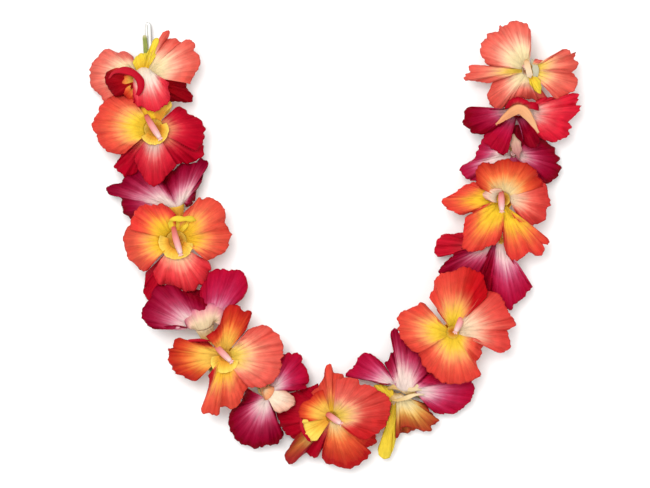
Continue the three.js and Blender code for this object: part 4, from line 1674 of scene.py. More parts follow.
# Two broad magenta petals spread from a golden tube that lies toward them
BLOOM_03 = Bloom(
    3, "floret_magenta", centre=(-136.0, 32.3), foot=(3, -9), mouth=(0, 8, 19), axis=(105, 25),
    radius=9, throat=Tissue.THROAT, style=(), stalk=(0, 11, 0, 18),
    petals=(
        Petal("right", (285, 378), (21, 16), Tissue.MAGENTA, (
            (116, 24), (104, 27), (90, 32), (81, 38), (73, 39), (65, 42), (62, 47.5), (58, 48),
            (53, 47.5), (51, 44.5), (50, 38), (44, 32), (36, 21), (28, 18), (11, 14), (4, 10)),
            heart=0.04),
        Petal("left", (192, 285), (22, 15), Tissue.MAGENTA, (
            (202, 30), (195, 37), (190, 41), (184, 44.5), (177, 45.5), (170, 47), (169, 57), (165, 61),
            (160, 57), (156, 51), (148, 50), (144, 48), (130, 49), (124, 38), (117, 24)), heart=0.06),
        Petal("lower", (25, 185), (15, 12), Tissue.WINE_AND_SHADE, (
            (22, 18), (50, 26), (80, 30), (110, 32), (140, 30), (170, 26), (192, 18))),
    ),
    lips=BELL_MOUTH,
)

# Four coral wings with golden hearts, a red lip, and a thick golden roll at the top
BLOOM_04 = Bloom(
    4, "floret_coral", centre=(-134.3, 3.4), foot=(0, 0), mouth=(0, 0, 30), axis=(90, 90), radius=12.5,
    throat=Tissue.THROAT, style=((-1.5, 8, 26), (-2, 12.5, 31), (0, 3, 35), (4, -10.5, 33.5)),
    stalk=(180, 11, 0, 20),
    petals=(
        Petal("upper_left", (98, 160), (36, 32), Tissue.GOLD_CORAL, (
            (92, 21), (100, 27), (107, 32), (112, 34), (123, 36), (132, 41.5), (146, 42.5), (158, 41),
            (162, 39.5)), heart=-0.12, flank=(0.1, 0.0)),
        Petal("lower_left", (163, 216), (34, 24), Tissue.CORAL_GOLD, (
            (162, 39.5), (170, 44.5), (180, 45), (192, 43.5), (197, 44), (211, 40), (220, 39),
            (225, 36), (224, 29)), heart=0.04, flank=(0.72, 1.0), under=(4, 0)),
        Petal("upper_right", (72, 24), (36, 31), Tissue.CORAL_GOLD, (
            (70, 24), (66, 31), (63, 38), (62, 42), (57, 42), (54, 46), (46, 48.5), (38, 49.5),
            (32, 49), (28, 47.5), (23, 44), (21, 40.5)), heart=0.04),
        Petal("lower_right", (19, -6), (33, 26), Tissue.CORAL_GOLD, (
            (21, 40.5), (17, 44), (12, 46), (6, 47), (-1, 45), (-7, 44), (-11, 43.5), (-18, 38.5),
            (-27, 33.5), (-33, 31), (-29, 26), (-17, 22)), heart=0.04, under=(4, 0)),
        Petal("lip", (-44, -128), (28, 17), Tissue.FLUSH, (
            (-33, 32), (-36, 36), (-43, 38.5), (-54, 42), (-58, 44), (-63, 42), (-70, 45), (-80, 44),
            (-90, 40), (-102, 38), (-111, 40), (-120, 37), (-128, 34)), under=(0, 0)),
        Petal("outer", (238, 250), (17, 11), Tissue.CRIMSON, (
            (229, 38), (231, 41.5), (233, 46), (237, 53), (245, 56), (248, 50), (250, 42))),
        Petal("back", (112, 56), (31, 33), Tissue.BUTTER, (
            (110, 16), (98, 19), (80, 20), (64, 20), (54, 17)), ruffle=0.3, curl=-0.6),
        Petal("cup", (165, 350), (28.4, 31.4), Tissue.CUP, (
            (160, 14), (185, 14.5), (210, 14.5), (235, 15), (260, 15.5), (285, 15.5), (310, 16),
            (335, 15.5), (352, 14.5)), ruffle=0.5, curl=-0.2, crease=0.0, under=(0, 0), neck=0.7),
    ),
    folds=(
        Fold("roll", Tissue.BUTTER, (
            (-5, 17.5, 37), (0, 18.8, 38), (6, 18.6, 38.4), (12, 18.8, 38), (17.5, 17.5, 37)), wide=2.3,
            thick=1.9),
    ),
)

# Two long magenta and wine petals spread from a tan tube
BLOOM_05 = Bloom(
    5, "floret_magenta", centre=(-108.8, -72.3), foot=(1, -9), mouth=(-4, 9, 22), axis=(110, 30),
    radius=11, throat=Tissue.BELL, style=(), stalk=(190, 11, 0, 16),
    petals=(
        Petal("left", (198, 290), (28, 27), Tissue.MAGENTA, (
            (170, 20), (168, 29), (172, 35), (179, 43), (176, 49), (168, 56), (162, 57), (156, 56),
            (149, 54.5), (141, 57), (136, 53.5), (126, 47), (121, 38.5), (112, 32), (98, 26.5),
            (91, 24)), heart=0.05),
        Petal("right", (290, 382), (27, 23), Tissue.RUBY, (
            (98, 28), (94, 38.5), (90, 42.5), (87, 49), (79, 53), (69, 54.5), (62, 58), (58, 58.5),
            (53, 56), (46, 51), (42, 44), (41, 40), (47, 31.5), (55, 25))),
        Petal("lower", (25, 190), (15, 12), Tissue.WINE_AND_SHADE, (
            (28, 20), (60, 30), (90, 34), (120, 36), (150, 30), (172, 16))),
        Petal("base", (215, 400), (30.0, 26.4), Tissue.BLUSH_CREAM, (
            (170, 16), (150, 21), (125, 21), (100, 21), (80, 23), (64, 24), (48, 23), (30, 20),
            (12, 16)), ruffle=0.1),
    ),
    lips=BELL_MOUTH,
)

# An orange and coral bloom with a golden heart, red toward its edges
BLOOM_06 = Bloom(
    6, "floret_orange", centre=(-91.8, -95.2), foot=(0, 0), mouth=(-1, 1, 31), axis=(90, 90), radius=12,
    throat=Tissue.THROAT, style=((-4, 5, 26), (-8.5, 10, 31.5), (-4, 5, 35), (4, -3, 34.5)),
    stalk=(220, 11, 0, 20),
    petals=(
        Petal("top", (128, 62), (37, 34), Tissue.FLAME, (
            (129, 24.5), (113, 24.5), (101, 28), (96, 33), (91, 41), (84, 45), (76, 45), (69, 42),
            (63, 44.5), (60, 44), (57, 37), (54, 30), (53, 25)), heart=0.02, under=(4, 0)),
        Petal("right", (38, -48), (37, 33), Tissue.CORAL_SUN, (
            (51, 30), (45, 37), (38, 44), (34, 45), (27, 47), (21, 49), (9, 49.5), (1, 48), (-5, 47),
            (-11, 48), (-22, 46.5), (-28, 45), (-37, 41), (-46, 33.5), (-51, 30)), under=(0, 4)),
        Petal("bottom", (224, 306), (34, 28), Tissue.CORAL_GOLD, (
            (226, 22), (234, 24), (240, 30), (243, 38), (245, 50), (248, 52), (254, 49.5), (258, 51),
            (263, 49.5), (263, 43), (267, 42), (273, 43.5), (279, 44.5), (285, 42), (290, 38),
            (295, 34), (309, 30)), heart=0.02, flank=(0.3, 0.0), under=(0, 4)),
        Petal("left", (144, 208), (33, 25), Tissue.FLAME, (
            (140, 20), (151, 27.5), (157, 36.5), (158, 43), (161, 46), (171, 46.5), (172, 50.5),
            (176, 48.5), (181, 49.5), (190, 47), (199, 45), (202, 41), (209, 38), (217, 34.5),
            (219, 31), (215, 23.5), (208, 19.5)), heart=0.1, flank=(0.2, 0.0), under=(0, 0)),
        Petal("cup", (180, 345), (32, 33.8), Tissue.CUP, (
            (178, 12), (200, 13.5), (225, 14.5), (250, 14), (275, 13), (300, 12.5), (325, 12),
            (345, 11)), ruffle=0.5, curl=-0.2, crease=0.0, under=(0, 0), neck=0.8),
    ),
    folds=(
        Fold("edge", Tissue.CRIMSON, (
            (-38, 12, 27.5), (-30, 14, 30.5), (-20, 14.5, 32.5), (-11, 13.5, 33)), wide=1.3, thick=0.6,
            taper=0.4),
    ),
    lips=NARROW_MOUTH,
)

# Magenta and ruby petals seen from behind, with a cream lobe at the right
BLOOM_07 = Bloom(
    7, "floret_magenta", centre=(-53.6, -127.5), foot=(-6, 4), mouth=(3, -2, 20), axis=(325, -25),
    radius=9, throat=Tissue.TAN, style=(), stalk=(153, 13.5, 0, 17),
    petals=(
        Petal("bottom", (262, 190), (23, 16), Tissue.MAGENTA, (
            (164, 22), (193, 26), (200, 34), (205, 39), (216, 45), (226, 47.5), (235, 49.5),
            (241, 49.5), (246, 48), (254, 48.5), (264, 44), (277, 43), (282, 39), (287, 36.5),
            (286, 31), (283, 24), (281, 14)), heart=-0.06, under=(0, 0)),
        Petal("upper_right", (28, 102), (22, 17), Tissue.RUBY, (
            (100, 26), (88, 31), (79, 33), (72, 36), (68, 38.5), (63, 38.5), (60, 41), (55, 42),
            (49, 41), (47, 38), (41, 37.5), (31, 36.5), (22, 35), (15, 32), (10, 30.5), (10, 22),
            (12, 12)), heart=-0.04),
        Petal("lobe", (108, 180), (27, 24), Tissue.CREAM, (
            (14, 12), (-2, 18), (-11, 20.5), (-19, 22), (-29, 20.5), (-41, 19.5), (-52, 18), (-64, 17),
            (-74, 14)), ruffle=0.5),
    ),
    lips=BELL_MOUTH,
)

# A coral and red bloom with a golden throat and a long, pointed ochre petal
BLOOM_08 = Bloom(
    8, "floret_scarlet", centre=(-1.7, -146.2), foot=(0, 1), mouth=(0, 0, 30), axis=(90, 90), radius=10,
    throat=Tissue.THROAT, style=((-2, 2, 26), (-4, 3, 29), (0, 0, 32), (7, -5, 32)),
    stalk=(250, 11, 0, 18),
    petals=(
        Petal("right", (70, -36), (36, 33), Tissue.CORAL_SUN, (
            (80, 32), (69, 35.5), (62, 37.5), (54, 39), (51, 36.5), (44, 39.5), (41, 42), (33, 44.5),
            (27, 47), (20, 51), (13, 51), (4, 49), (-1, 48), (-8, 46), (-17, 42), (-24, 38.5),
            (-34, 31.5), (-36, 24)), heart=-0.06, flank=(-0.4, 1.2)),
        Petal("top", (124, 78), (29, 22), Tissue.CORAL_GOLD, (
            (127, 27), (114, 28), (105, 32), (100, 36.5), (98, 42), (95, 44), (91.5, 45), (90, 42),
            (88, 37.5), (84, 36.5), (79, 38), (75, 36), (73, 27)), heart=-0.1),
        Petal("upper_left", (116, 180), (34, 35), Tissue.FLAME, (
            (112, 25), (124, 25.5), (138, 24), (149, 26.5), (157, 28.5), (166, 28.5), (177, 28),
            (186, 20)), heart=0.18, ruffle=0.7),
        Petal("left", (122, 206), (19, 10), Tissue.CRIMSON, (
            (118, 30), (131, 31), (140, 34), (149, 39), (160, 45), (174, 48.5), (183, 46), (191, 45),
            (198, 43.5), (205, 40.5), (211, 37), (213, 28))),
        Petal("pointed", (206, 236), (24, 11), Tissue.OCHRE, (
            (205, 32), (212, 38), (217, 46), (220, 53), (225, 55), (229, 55.5), (231, 52), (232, 46),
            (234, 40), (238, 36)), flank=(0.35, 0.7), ruffle=0.6, under=(0, 0), heart=-0.05),
        Petal("lower_left", (238, 256), (25, 17), Tissue.CRIMSON, (
            (232, 38), (240, 38.5), (246, 38.5), (250, 37), (253, 30)), under=(0, 0)),
        Petal("bottom", (256, 330), (29, 17), Tissue.EMBER, (
            (254, 27), (255, 32.5), (258, 38), (266, 41), (273, 41.5), (282, 45.5), (292, 47.5),
            (300, 47), (308, 46.5), (317, 45.5), (318, 40), (325, 43), (331, 43.5), (336, 40),
            (337, 37), (332, 27)), heart=-0.1, under=(0, 4)),
        Petal("inner", (186, 236), (32, 33), Tissue.CUP, (
            (178, 21), (186, 25), (200, 25.5), (214, 27), (226, 27), (233, 23)), ruffle=0.5),
    ),
    folds=(
        Fold("edge", Tissue.CRIMSON, (
            (-25, 1, 32), (-26, -5, 34), (-24.5, -11, 35), (-21, -17, 34.5), (-18, -21, 32)), wide=1.5,
            thick=1.1),
    ),
    lips=NARROW_MOUTH,
)

# A small yellow bloom, half hidden, with red tips to its ochre petals
BLOOM_09 = Bloom(
    9, "floret_yellow", centre=(58.7, -133.5), foot=(-11, 3), mouth=(-1, -4, 18), axis=(280, 20),
    radius=8, throat=Tissue.BELL, style=(), stalk=(190, 10.6, 0, 15),
    petals=(
        Petal("strap", (180, 140), (18, 13), Tissue.BUTTER, (
            (236, 14), (240, 22), (243, 32), (243, 46), (246, 50), (250, 52), (256, 51), (258, 46.5),
            (260, 36), (261, 29), (256, 20), (258, 14)), ruffle=0.6),
        Petal("right", (130, 45), (19, 15), Tissue.OCHRE, (
            (261, 24), (262, 33), (265, 29), (269, 22), (280, 22.5), (290, 24.5), (298, 27.5),
            (310, 34), (316, 35), (320, 32), (326, 34.5), (332, 35.5), (334, 31), (340, 24.5),
            (350, 20.5), (353, 14))),
        Petal("lip", (212, 176), (17, 15), Tissue.BUTTER, (
            (178, 12), (164, 20), (156, 24), (152, 28), (146, 25.5), (138, 19), (130, 14)), ruffle=0.6),
        Petal("lower", (205, 360), (10, 6), Tissue.OCHRE, (
            (205, 14), (235, 24), (270, 28), (305, 26), (340, 15))),
    ),
    lips=BELL_MOUTH,
)

# Three long ruby and rose petals spread from a tan tube
BLOOM_10 = Bloom(
    10, "floret_magenta", centre=(57.8, -122.4), foot=(8, -2), mouth=(3, 7, 21), axis=(75, 30),
    radius=10, throat=Tissue.BELL, style=(), stalk=(330, 11, 0, 15),
    petals=(
        Petal("upper_left", (162, 214), (22, 16), Tissue.RUBY, (
            (170, 17), (167, 32), (167, 45), (168, 49), (163, 48.5), (157, 45), (146, 45), (140, 45),
            (134, 42), (130, 35), (127.5, 28), (128, 21), (134, 15)), heart=0.08, under=(0, 0)),
        Petal("top", (216, 296), (23, 17), Tissue.ROSE_WINE, (
            (130, 14), (121, 16), (124, 26), (115, 26.5), (108, 31), (99, 34), (100, 39), (102, 45.5),
            (100, 49.5), (96.5, 52), (93, 48), (88, 44), (80, 42), (70, 40), (60, 38), (50, 36),
            (40, 32), (33, 24)), heart=0.16, under=(0, 4)),
        Petal("right", (298, 350), (21, 14), Tissue.RUBY, (
            (33, 21), (24, 30), (15, 34), (9, 45), (7, 56), (3, 62), (-4, 62), (-10, 60), (-15, 57),
            (-20, 54), (-26, 50), (-29, 45), (-36, 37), (-36, 31), (-33, 25), (-25, 16)), heart=0.08,
            under=(4, 0)),
        Petal("lower", (-10, 160), (14, 12), Tissue.WINE_AND_SHADE, (
            (-5, 20), (30, 26), (75, 30), (100, 26), (112, 16))),
    ),
    folds=(
        Fold("base", Tissue.BELL, (
            (-12, 0, 20), (-4, 2, 22.6), (4, 2.4, 23.6), (12, 1, 23), (20, -1.5, 20.5)), wide=4.8,
            thick=0.8, taper=0.45),
        Fold("ribbon", Tissue.BELL, (
            (-11, -8.5, 24), (-5, -9.6, 27), (3, -7.6, 28.5), (11, -5, 28.5), (19, -5, 26)), wide=1.9,
            thick=0.5, taper=0.45),
    ),
    lips=BELL_MOUTH,
)

# Four wide coral petals round a golden throat; one half of the top petal is crimson, painted shade of a deep
# fold
BLOOM_11 = Bloom(
    11, "floret_coral", centre=(102.0, -73.1), foot=(0, 0), mouth=(-1, -1, 31), axis=(90, 90),
    radius=12, throat=Tissue.THROAT, style=((3, 6, 26), (6.3, 12, 31), (4.5, 7, 34.5), (1.2, 0, 34)),
    stalk=(330, 11, 0, 20),
    petals=(
        Petal("left", (148, 206), (36, 30), Tissue.CORAL_DEEP, (
            (147, 20.5), (140, 28), (137, 34), (140, 37.5), (145, 38.5), (154, 42.5), (158, 46),
            (162, 48.5), (167, 49.5), (174, 47), (178, 47.5), (184, 46.5), (190, 44.5), (198, 41.5),
            (206, 39), (210, 34), (206, 24)), heart=0.14, under=(0, 4)),
        Petal("bottom", (208, 334), (35, 30), Tissue.CORAL_DEEP, (
            (208, 30), (217, 36), (227, 38.5), (234, 40.5), (246, 41.5), (252, 43.5), (258, 45),
            (270, 45), (284, 45), (291, 44.5), (298, 44.5), (302, 43), (302.5, 36), (308, 32),
            (315, 30.5), (322, 30.5), (325, 27.5), (333, 28), (341, 27)), heart=0.04, under=(4, 0)),
        # Its crimson flank is painted shade, where this petal folds deep
        Petal("top", (122, 80), (36, 32), Tissue.CORAL_DEEP, (
            (131, 17), (129, 23), (124, 28), (127, 33), (126, 36.5), (120, 38), (115, 40.5),
            (111, 46.5), (106, 49), (99, 50.5), (92, 50.5), (88, 52), (84, 54.5), (79, 55.5),
            (72, 54.5), (64, 54), (58, 49), (51, 43), (50, 32)), heart=0.04, flank=(0.38, 0.78),
            under=(0, 4)),
        Petal("right", (50, -14), (35, 29), Tissue.DEEP_CREAM, (
            (50, 33), (49, 43), (45, 47), (40, 49), (35, 49.5), (29, 49), (19, 49), (15, 50), (11, 52),
            (6, 53), (4, 50.5), (0.5, 45.5), (-5, 46.5), (-12, 49), (-17, 49.5), (-22, 47), (-26, 42),
            (-26, 38), (-23, 35), (-17, 29)), heart=0.04, under=(4, 0)),
    ),
    lips=NARROW_MOUTH,
)

# Wine and ruby petals with pale hearts, and a scarlet lobe at the left
BLOOM_12 = Bloom(
    12, "floret_wine", centre=(137.7, 0.0), foot=(2, 7), mouth=(2, -6, 18), axis=(275, 30), radius=9,
    throat=Tissue.THROAT, style=(), stalk=(355, 11, 0, 15),
    petals=(
        Petal("lobe", (205, 165), (18, 16), Tissue.SCARLET, (
            (156, 22), (161, 31), (166, 38.5), (167, 43), (170, 46.5), (175, 49.5), (183, 51.5),
            (190, 51.5), (192, 48.5), (192, 42), (191, 34), (190, 24)), heart=-0.2, shade=0.25),
        Petal("left", (162, 122), (21, 18), Tissue.ROSE_WINE, (
            (186, 22), (190, 34), (194, 37.5), (198, 43.5), (201, 48), (206, 54), (212, 52), (220, 47),
            (230, 42), (240, 36), (246, 26))),
        Petal("middle", (120, 96), (21, 17), Tissue.WINE_AND_SHADE, (
            (238, 18), (244, 34), (252, 41), (262, 42), (270, 41), (275, 34), (274, 24))),
        Petal("right", (92, 8), (25, 18), Tissue.RUBY, (
            (-96, 30), (-92, 45), (-86, 50), (-80, 55.5), (-76, 57), (-72, 53), (-67, 52), (-60, 51),
            (-56, 48), (-52, 49), (-48, 47), (-49, 43.5), (-51, 37), (-50, 28), (-48, 14)), heart=0.08,
            under=(4, 0)),
        Petal("lower", (200, 345), (12, 11), Tissue.WINE_AND_SHADE, (
            (200, 18), (230, 26), (270, 33), (300, 30), (312, 14))),
    ),
    lips=BELL_MOUTH,
)

# A broad orange bloom: a fringed top petal and golden petals with coral tips
BLOOM_13 = Bloom(
    13, "floret_orange", centre=(143.7, 39.1), foot=(0, 0), mouth=(0, 0, 31), axis=(90, 90), radius=13,
    throat=Tissue.THROAT, style=((-0.5, 3, 26), (-1.5, 5.5, 31.5), (-2, 1, 35.5), (-1.5, -9.5, 34.5)),
    stalk=(0, 11, 0, 20),
    petals=(
        Petal("top", (150, 26), (37, 34), Tissue.EMBER, (
            (152, 22), (146, 26.5), (138, 31), (131, 34.5), (123, 35.5), (115, 34), (105, 31), (98, 33),
            (90, 33.5), (80, 34), (75, 32.5), (66, 34.5), (57, 36), (46, 36.5), (37, 36), (29, 36),
            (21, 35)), heart=0.04, ruffle=1.2),
        Petal("right", (20, -10), (35, 28), Tissue.DEEP_CREAM, (
            (20, 36.5), (14, 38.5), (5, 38.5), (-1, 39.5), (-7, 41), (-11, 38), (-19, 39), (-26, 39.5),
            (-31, 38.5), (-36, 35.5), (-42, 33.5), (-46, 30), (-48, 26), (-52, 19.5)), under=(4, 0),
            heart=-0.04),
        Petal("left", (154, 198), (33, 27), Tissue.GOLD_CORAL, (
            (150, 24), (153, 28), (158, 32.5), (166, 37.5), (171, 40), (176, 45), (181.5, 52.5),
            (185, 51), (190, 48), (194, 44), (202, 36.5), (201, 32), (204, 25.5), (197, 19)),
            heart=-0.02),
        Petal("lower_left", (200, 264), (37, 31), Tissue.GOLD_CORAL, (
            (198, 18), (205, 27), (206, 35.5), (212, 39), (218, 43), (224, 47), (230, 54), (236, 53.5),
            (241, 51), (246, 48), (252, 42.5), (259, 39.5), (264, 36), (269, 28)), under=(0, 0),
            heart=-0.05),
        Petal("lower_right", (-95, -72), (36, 27), Tissue.GOLD_CORAL, (
            (-90, 30), (-88, 41), (-86, 46), (-83, 51), (-78, 54), (-72, 52.5), (-63, 50.5),
            (-60.5, 55), (-56, 58), (-50, 55), (-49, 51), (-45, 54.5), (-42, 53), (-42, 47),
            (-47, 40.5), (-53, 34), (-61, 22)), heart=-0.06, under=(0, 0)),
        Petal("flap", (105, 205), (36, 37), Tissue.CREAM, (
            (112, 9), (135, 12), (155, 16), (167, 18.5), (177, 16.5), (192, 10)), ruffle=0.4),
    ),
    lips=NARROW_MOUTH,
)

# A dark ruby and wine bloom with a pale pink pleat, pressed between its neighbours
BLOOM_14 = Bloom(
    14, "floret_magenta", centre=(151.3, 76.5), foot=(0, 2), mouth=(2, 1, 20), axis=(90, 90), radius=7,
    throat=Tissue.BELL, style=((1.0, 1, 16.2), (1.2, 1, 17.0), (1.4, 1.2, 17.8)), stalk=(0, 11, 0, 15),
    petals=(
        Petal("left", (136, 224), (22, 16), Tissue.RUBY, (
            (134, 27), (149, 28), (160, 28), (168, 28.5), (177, 30), (184, 31), (190, 38), (193, 44.5),
            (198, 45), (204, 44), (209, 42), (217, 36), (222, 28), (223, 22)), heart=0.24,
            under=(4, 0)),
        Petal("right", (32, -42), (20, 14), Tissue.ROSE_WINE, (
            (38, 29), (26, 31), (17, 33.5), (10, 38.5), (7, 37), (1, 39.5), (-5, 42), (-9, 40),
            (-13, 44), (-21, 44), (-27, 43), (-33, 41), (-39, 38.5), (-43, 35), (-44, 25), (-42, 16)),
            heart=-0.06),
        Petal("upper", (84, 40), (17, 13), Tissue.WINE_AND_SHADE, (
            (86, 24), (74, 28), (58, 29), (44, 26))),
        Petal("lower", (230, 312), (18, 14), Tissue.WINE_AND_SHADE, (
            (230, 22), (250, 28), (270, 30), (290, 28), (310, 22))),
    ),
    folds=(
        Fold("pleat", Tissue.BLUSH_CREAM, (
            (1.5, 18, 20), (3, 12, 22.5), (4.5, 5, 23.5), (6, -3, 22)), wide=4.8, thick=0.8, shade=0.25,
            taper=0.5),
    ),
    lips=CLOSED_MOUTH,
)

# Wine and crimson petals hung below the arch of a tan tube
BLOOM_15 = Bloom(
    15, "floret_wine", centre=(156.4, 113.1), foot=(0, 7), mouth=(0, -4, 26), axis=(265, 40),
    # The tube's dark red is painted shade of the hollow under the arch
    radius=10.5, throat=Tissue.BLOOD_AND_SHADE, style=(), stalk=(180, 11, 0, 15),
    petals=(
        Petal("left", (148, 208), (30, 24), Tissue.ROSE_WINE, (
            (177, 14), (178, 26), (177, 32), (173, 38.5), (174, 41), (178, 45.5), (185, 45), (190, 48),
            (195, 46), (199, 44), (204, 42.5), (209, 38.5), (213, 34), (214, 28), (214, 18)),
            flank=(0.3, 0.05), heart=-0.12),
        Petal("lower_left", (212, 258), (25, 24), Tissue.RUBY, (
            (215, 26), (216, 36), (223, 38.5), (231, 38), (243, 38), (252, 38.5), (256, 34), (255, 26),
            (254, 21)), flank=(0.8, 1.0), under=(4, 0), heart=-0.3),
        Petal("lower_right", (264, 312), (26, 27), Tissue.WINE_AND_SHADE, (
            (280, 17), (281, 24), (285, 30), (291, 33), (298, 34), (305, 32), (311, 27), (315, 18)),
            flank=(0.2, 0.0), under=(0, 4)),
        Petal("right", (22, -42), (30, 24), Tissue.SCARLET, (
            (28, 24), (21, 31), (19, 40), (19, 50), (16, 54), (12, 52.5), (7, 50), (6, 54), (2, 52.5),
            (-2, 50), (-6, 47), (-10, 44), (-15, 47.5), (-19, 46), (-23, 48), (-28, 46), (-33, 43),
            (-39, 40.5), (-43, 36), (-46, 30), (-46, 18)), heart=-0.08),
        Petal("upper", (140, 40), (35, 34), Tissue.CRIMSON, (
            (165, 12), (140, 12), (115, 12.5), (95, 12.5), (70, 12), (45, 12), (30, 16), (20, 18),
            (6, 17)), ruffle=0.5),
    ),
    folds=(
        Fold("arch", Tissue.TAN, (
            (17, -18, 32.8), (11, -8, 34.4), (4.5, 0, 35.8), (0.5, 2, 36), (-3.5, 0.8, 35.6),
            (-11, -4.5, 32.5), (-19, -11, 31.6)), wide=4.2, thick=0.7, taper=0.4),
    ),
    lips=BELL_MOUTH,
)

# Coral petals with cream hearts, at the top right end
BLOOM_16 = Bloom(
    16, "floret_coral", centre=(164.1, 149.6), foot=(0, -1), mouth=(0, -1, 30), axis=(90, 90),
    radius=10, throat=Tissue.PALE_THROAT, style=((-1, 2, 25), (-1.5, 3, 28), (-1, 1, 30)),
    stalk=(20, 11, 0, 18),
    petals=(
        Petal("top", (80, 168), (35, 27), Tissue.CORAL_CREAM, (
            (80, 14), (82, 26), (85, 33), (90, 38), (97, 40.5), (105, 42.5), (111, 42.5), (118, 41),
            (122, 44), (127, 40), (132, 42.5), (136, 44.5), (141, 44), (146, 44), (153, 44),
            (159, 42.5), (164, 40), (169, 36.5), (173, 34), (175, 26)), heart=0.1, under=(0, 0)),
        Petal("left", (172, 198), (30, 22), Tissue.CORAL_SUN, (
            (172, 20), (174, 32), (177, 37.5), (175, 47), (180, 49.5), (182, 48), (185, 52),
            (189.5, 54.5), (191, 49), (193, 43.5), (199, 36), (200, 31), (196, 22)), heart=0.08,
            under=(0, 0)),
        Petal("bottom", (204, 296), (26, 20), Tissue.CORAL_CREAM, (
            (198, 24), (204, 31), (209, 35), (215, 41), (223, 42), (233, 43), (241, 36), (250, 27),
            (270, 24.5), (285, 27), (294, 37), (300, 38), (304, 34), (304, 30), (302, 22)),
            flank=(0.5, 1.2)),
        Petal("upper_right", (44, 0), (34, 28), Tissue.CORAL_SUN, (
            (48, 11), (22, 16), (21, 21), (26, 28), (29, 34), (27, 38), (22, 39.5), (18, 40), (19, 44),
            (16, 43), (13, 40.5), (8, 43), (3.5, 43), (0.5, 40.5), (-3, 34)), heart=0.08),
        Petal("lower_right", (-4, -40), (33, 30), Tissue.CORAL_SUN, (
            (-2, 31), (-4, 35), (-7, 40.5), (-12, 44), (-19, 44.5), (-27, 43), (-33, 40), (-41, 37.5),
            (-48, 34), (-44, 30), (-36, 24)), heart=0.02, under=(0, 0)),
        Petal("lobe", (-46, -74), (31, 31), Tissue.BUTTER, (
            (-46, 15), (-54, 20), (-62, 24), (-70, 20), (-77, 13)), ruffle=0.5),
    ),
    folds=(
        Fold("white_fold", Tissue.PALE_THROAT, (
            (-1, 8, 32), (-0.5, 3, 35), (1, -3, 36), (2.5, -8, 34)), wide=2.6, thick=1.0),
        # Its grey is painted shade on a pale translucent fold
        Fold("veil", Tissue.VEIL_AND_SHADE, (
            (4, 8, 31), (6, 3, 33.5), (7, -3, 33.5), (6.5, -8, 31)), wide=2.6, thick=0.9),
    ),
    lips=NARROW_MOUTH,
)

BLOOMS = [
    BLOOM_01, BLOOM_02, BLOOM_03, BLOOM_04, BLOOM_05, BLOOM_06, BLOOM_07, BLOOM_08, BLOOM_09, BLOOM_10,
    BLOOM_11, BLOOM_12, BLOOM_13, BLOOM_14, BLOOM_15, BLOOM_16,
]


# The lei and its studio

# The cord's doubled end, from its tip to where it goes in under the petals, and its far end
CORD_LOOP = [
    (-160.4, 171, 1.8), (-160.8, 179, 1.8), (-160.9, 185.4, 2), (-160.6, 188.6, 2.8),
    (-159.7, 190, 4.2), (-158.8, 188.7, 5.5), (-158.5, 186, 6), (-158.2, 178, 6), (-157.6, 166, 6),
]
CORD_END = (165.5, 165, 6)
# How high the cord runs through the feet
CORD_HEIGHT = 6.0


@dataclass
class Lei:
    """The whole lei: the blooms, and the cord that strings them.

    Attributes:
        blooms: The blooms, from the top left end round to the top right end.
    """

    blooms: list[Bloom]

    def build(self) -> None:
        """Makes every piece and reports each bloom."""
        feet = [bloom.foot_at + [0, 0, CORD_HEIGHT] for bloom in self.blooms]
        cord = Cord([*CORD_LOOP, *feet, CORD_END])
        cord.build()
        for bloom in self.blooms:
            bloom.build(cord)
            log.info("bloom %d is strung, with %d petals", bloom.number, len(bloom.petals))


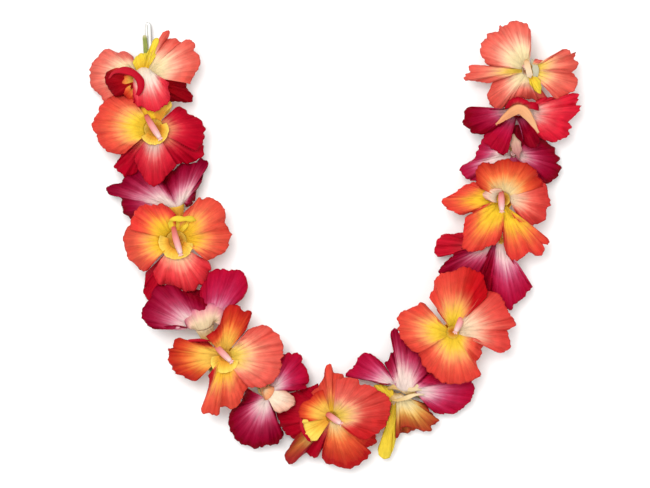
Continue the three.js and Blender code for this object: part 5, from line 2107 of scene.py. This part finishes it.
@dataclass
class Studio:
    """The plain white sheet that the lei lies on, the soft light and the camera.

    Attributes:
        half_side: Half the sheet's side.
        flat_share: The share of it that lies flat.
        turn_up: How high the sheet's far edges turn up.
        drop: How far the sheet lies below the lei, so that the two don't touch.
        aim: Where the camera looks, in plan.
        plane: The height of the plane that the photo's scale is read at.
        distance: The camera's height above that plane.
        view_width: How much of that plane the picture spans.
        sensor: The camera's sensor width.
        quads: How many quads lie along a side of the sheet.
        sky: The strength of the even light from all sides.
    """

    half_side: float = 1100.0
    flat_share: float = 0.75
    turn_up: float = 40.0
    drop: float = 0.2
    aim: Pair = (-7.65, 0.85)
    plane: float = 28.0
    distance: float = 2200.0
    view_width: float = 552.5
    sensor: float = 36.0
    quads: int = 40
    sky: float = 0.78

    def build(self) -> None:
        """Sets up the sheet, the lights and the camera."""
        self.make_sheet()
        self.light("key_softbox", (-380, 460, 1950), 1000, 29.0)
        self.light("fill_softbox", (900, -500, 1500), 1400, 6.0)
        self.make_sky()
        self.make_camera()

    def make_sheet(self) -> None:
        """Makes the sheet, whose far edges turn up gently."""
        share = np.linspace(-1, 1, self.quads + 1)
        x, y = np.meshgrid(share * self.half_side, share * self.half_side)
        away = np.maximum(np.abs(x), np.abs(y))
        rise = ease(away, self.flat_share * self.half_side, self.half_side) * self.turn_up
        side = 2 * self.half_side
        skin = plain_skin(self.quads, (share + 1) / 2, wide=side, long=side)
        sheet = Gathering()
        sheet.add(np.dstack([x, y, rise - self.drop]), skin, TableTop())
        sheet.mesh("paper_sheet", weld=False)

    def light(self, name: str, place: Place, size: float, power: float) -> None:
        """Adds a soft square light aimed at the lei's middle.

        Args:
            name: The light's name.
            place: Where it hangs, in millimetres.
            size: Its side, in millimetres.
            power: Its power in watts.
        """
        data = bpy.data.lights.new(name, "AREA")
        data.shape = "SQUARE"
        data.size = size * MM
        data.energy = power
        lamp = bpy.data.objects.new(name, data)
        lamp.location = Vector(place) * MM
        lamp.rotation_euler = lamp.location.to_track_quat("Z", "Y").to_euler()
        bpy.context.scene.collection.objects.link(lamp)

    def make_sky(self) -> None:
        """Lights the scene evenly from all sides, as inside a white tent."""
        world = bpy.data.worlds.new("white_tent")
        world.use_nodes = True
        world.node_tree.nodes.clear()
        sky = add_node(
            world.node_tree, "ShaderNodeBackground", None,
            {"Color": linear("#ffffff"), "Strength": self.sky},
        )
        add_node(world.node_tree, "ShaderNodeOutputWorld", None, {"Surface": sky.outputs[0]})
        bpy.context.scene.world = world
        bpy.context.scene.view_settings.view_transform = "Standard"

    def make_camera(self) -> None:
        """Looks straight down on the lei, at the photo's framing."""
        data = bpy.data.cameras.new("camera")
        data.sensor_width = self.sensor
        data.lens = self.sensor * self.distance / self.view_width
        data.clip_end = 20.0
        camera = bpy.data.objects.new("camera", data)
        camera.location = Vector((*self.aim, self.plane + self.distance)) * MM
        bpy.context.scene.collection.objects.link(camera)
        bpy.context.scene.camera = camera


def main() -> None:
    """Builds the studio and the lei."""
    logging.basicConfig(level=logging.INFO, format="%(name)s: %(message)s")
    Studio().build()
    Lei(BLOOMS).build()
    log.info("the lei is built")


if __name__ == "__main__":
    main()
